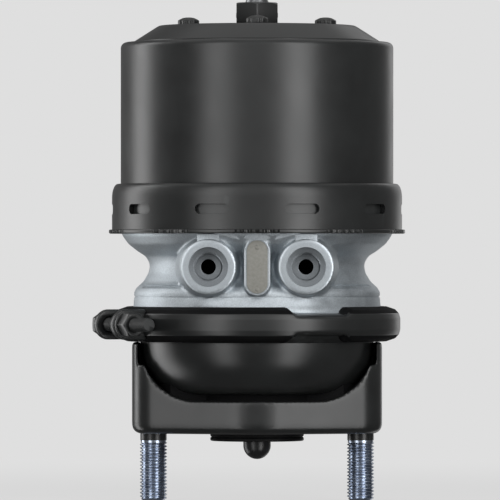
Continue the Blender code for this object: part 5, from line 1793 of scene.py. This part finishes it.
@dataclass
class Studio:
    """Floor, lights, background and camera."""

    floor_z: float = -39.8
    floor_rows: tuple[float, ...] = (0.0, 400.0, 900.0, 3000.0)
    floor_colour: str = "#d8d8d8"
    floor_glow: float = 0.88
    fade_from: float = 0.2
    fade_to: float = 0.8
    background: str = "#dfdfdf"
    fill: float = 0.17
    distance: float = 1.25
    low: float = -1.0
    high: float = 1.2
    strips: tuple[Strip, ...] = (Strip(-111, 0.50, 3.7), Strip(-33, 0.44, 3.0), Strip(34, 0.48, 4.6),
                                 Strip(154, 0.46, 0.8))
    drape_r: float = 1900.0
    drape_top_z: float = 2200.0
    drape_opening: float = 48.0
    drape_glow: float = 0.19
    cloth_glow: float = 0.12
    lens: float = 500.0
    sensor: float = 36.0
    camera: Corner = (-4.1, -4047.0, 106.4)

    def build(self) -> None:
        """Builds the whole studio."""
        self.light_world()
        self.lay_floor()
        for strip in self.strips:
            self.hang(strip)
        self.hang_drapes()
        self.place_camera()

    def hang(self, strip: Strip) -> None:
        """Hangs one soft light that points at the cylinder's axis.

        Args:
            strip: the light.
        """
        light = bpy.data.lights.new("strip_light", "AREA")
        light.shape = "RECTANGLE"
        light.size, light.size_y = strip.width, self.high - self.low
        light.energy = strip.radiance * light.size * light.size_y * math.pi
        lamp = add_object("strip_light", light)
        a, z = math.radians(strip.azimuth), (self.low + self.high) / 2
        lamp.location = Vector((self.distance * math.sin(a), -self.distance * math.cos(a), z))
        lamp.rotation_euler = (Vector((0, 0, z)) - lamp.location).to_track_quat("-Z", "Y").to_euler()
        lamp.visible_camera = False

    def light_world(self) -> None:
        """Sets a dim even fill, and the pale background that the camera, metal and glass see."""
        world = bpy.data.worlds.new("studio")
        bpy.context.scene.world = world
        world.use_nodes = True
        tree = world.node_tree
        tree.nodes.clear()
        dim = add_node(tree, "ShaderNodeBackground", {"Color": (1, 1, 1, 1), "Strength": self.fill}).outputs[0]
        light = {"Color": srgb(self.background), "Strength": 1.0}
        pale = add_node(tree, "ShaderNodeBackground", light).outputs[0]
        mix = add_node(tree, "ShaderNodeMixShader", {0: self.seen(tree), 1: dim, 2: pale}).outputs[0]
        add_node(tree, "ShaderNodeOutputWorld", {0: mix})

    def seen(self, tree: bpy.types.NodeTree) -> bpy.types.NodeSocket:
        """Tells whether the camera, a reflection or a clear material looks at the surface.

        Args:
            tree: the node tree of the surface.

        Returns:
            1 for such a ray, and 0 for the others.
        """
        path = add_node(tree, "ShaderNodeLightPath").outputs
        inputs = {0: path["Is Camera Ray"], 1: path["Is Glossy Ray"]}
        either = add_node(tree, "ShaderNodeMath", inputs, operation="MAXIMUM").outputs[0]
        inputs = {0: either, 1: path["Is Transmission Ray"]}
        return add_node(tree, "ShaderNodeMath", inputs, operation="MAXIMUM").outputs[0]

    def hang_drapes(self) -> None:
        """Hangs grey drapes at the sides and a dark cloth far below, which shape the coat's reflections."""
        opening, r, top = self.drape_opening, self.drape_r, self.drape_top_z
        row = arc((0.0, 0.0), (r, r), opening - 90, 270 - opening, 48)
        points = [(x, y, z) for z in (self.floor_z, top) for x, y in row]
        count = len(row)
        wall = Surface(np.array(points), [(i, i + 1, count + i + 1, count + i) for i in range(count - 1)])
        bowl = revolved([(0.0, -top), (r, -top), (r, self.floor_z)], 48, closed=False)
        cloths = (("side_drape", wall, self.drape_glow), ("dark_cloth", bowl, self.cloth_glow))
        for name, surface, glow in cloths:
            cloth = add_object(name, surface)
            material = bpy.data.materials.new(name)
            material.use_nodes = True
            tree = material.node_tree
            lit = add_node(tree, "ShaderNodeEmission", {"Color": (1, 1, 1, 1), "Strength": glow}).outputs[0]
            feed(tree, tree.nodes["Material Output"], {"Surface": lit})
            cloth.data.materials.append(material)
            cloth.visible_camera = cloth.visible_diffuse = cloth.visible_shadow = False

    def lay_floor(self) -> None:
        """Lays the round pale floor, whose far part fades into the background."""
        rows = [(r, self.floor_z) for r in self.floor_rows]
        floor = add_object("floor", revolved(rows, 96, closed=False))
        material = bpy.data.materials.new("pale_floor")
        material.use_nodes = True
        tree = material.node_tree
        shader = tree.nodes["Principled BSDF"]
        feed(tree, shader, {"Base Color": srgb(self.floor_colour), "Roughness": 0.9, "Specular IOR Level": 0.1})
        place = add_node(tree, "ShaderNodeTexCoord").outputs["Object"]
        away = add_node(tree, "ShaderNodeVectorMath", {0: place}, operation="LENGTH").outputs["Value"]
        inputs = {"Value": away, "From Min": self.fade_from, "From Max": self.fade_to,
                  "To Min": self.floor_glow, "To Max": 1.0}
        fade = add_node(tree, "ShaderNodeMapRange", inputs, interpolation_type="SMOOTHSTEP").outputs["Result"]
        seen = add_node(tree, "ShaderNodeMath", {0: fade, 1: self.seen(tree)}, operation="MULTIPLY").outputs[0]
        light = {"Color": srgb(self.background), "Strength": 1.0}
        pale = add_node(tree, "ShaderNodeEmission", light).outputs[0]
        mix = add_node(tree, "ShaderNodeMixShader", {0: seen, 1: shader.outputs[0], 2: pale}).outputs[0]
        feed(tree, tree.nodes["Material Output"], {"Surface": mix})
        floor.data.materials.append(material)
        floor.visible_glossy = False

    def place_camera(self) -> None:
        """Places the camera straight in front, with a long lens."""
        data = bpy.data.cameras.new("camera")
        data.lens, data.sensor_width = self.lens, self.sensor
        data.clip_end = 50.0
        camera = add_object("camera", data)
        camera.location = Vector(self.camera) * MM
        camera.rotation_euler = (math.radians(90), 0, 0)
        bpy.context.scene.camera = camera


def main() -> None:
    logging.basicConfig(level=logging.INFO, format="%(message)s")
    bpy.context.scene.view_settings.view_transform = "Standard"
    for group in (Studio(), SpringChamber(), ReleaseScrew(), PortCasting(), ClampRing(), ServiceChamber(),
                  PushRodSet(), ParkingSet()):
        LOG.info("building %s", type(group).__name__)
        group.build()


if __name__ == "__main__":
    main()
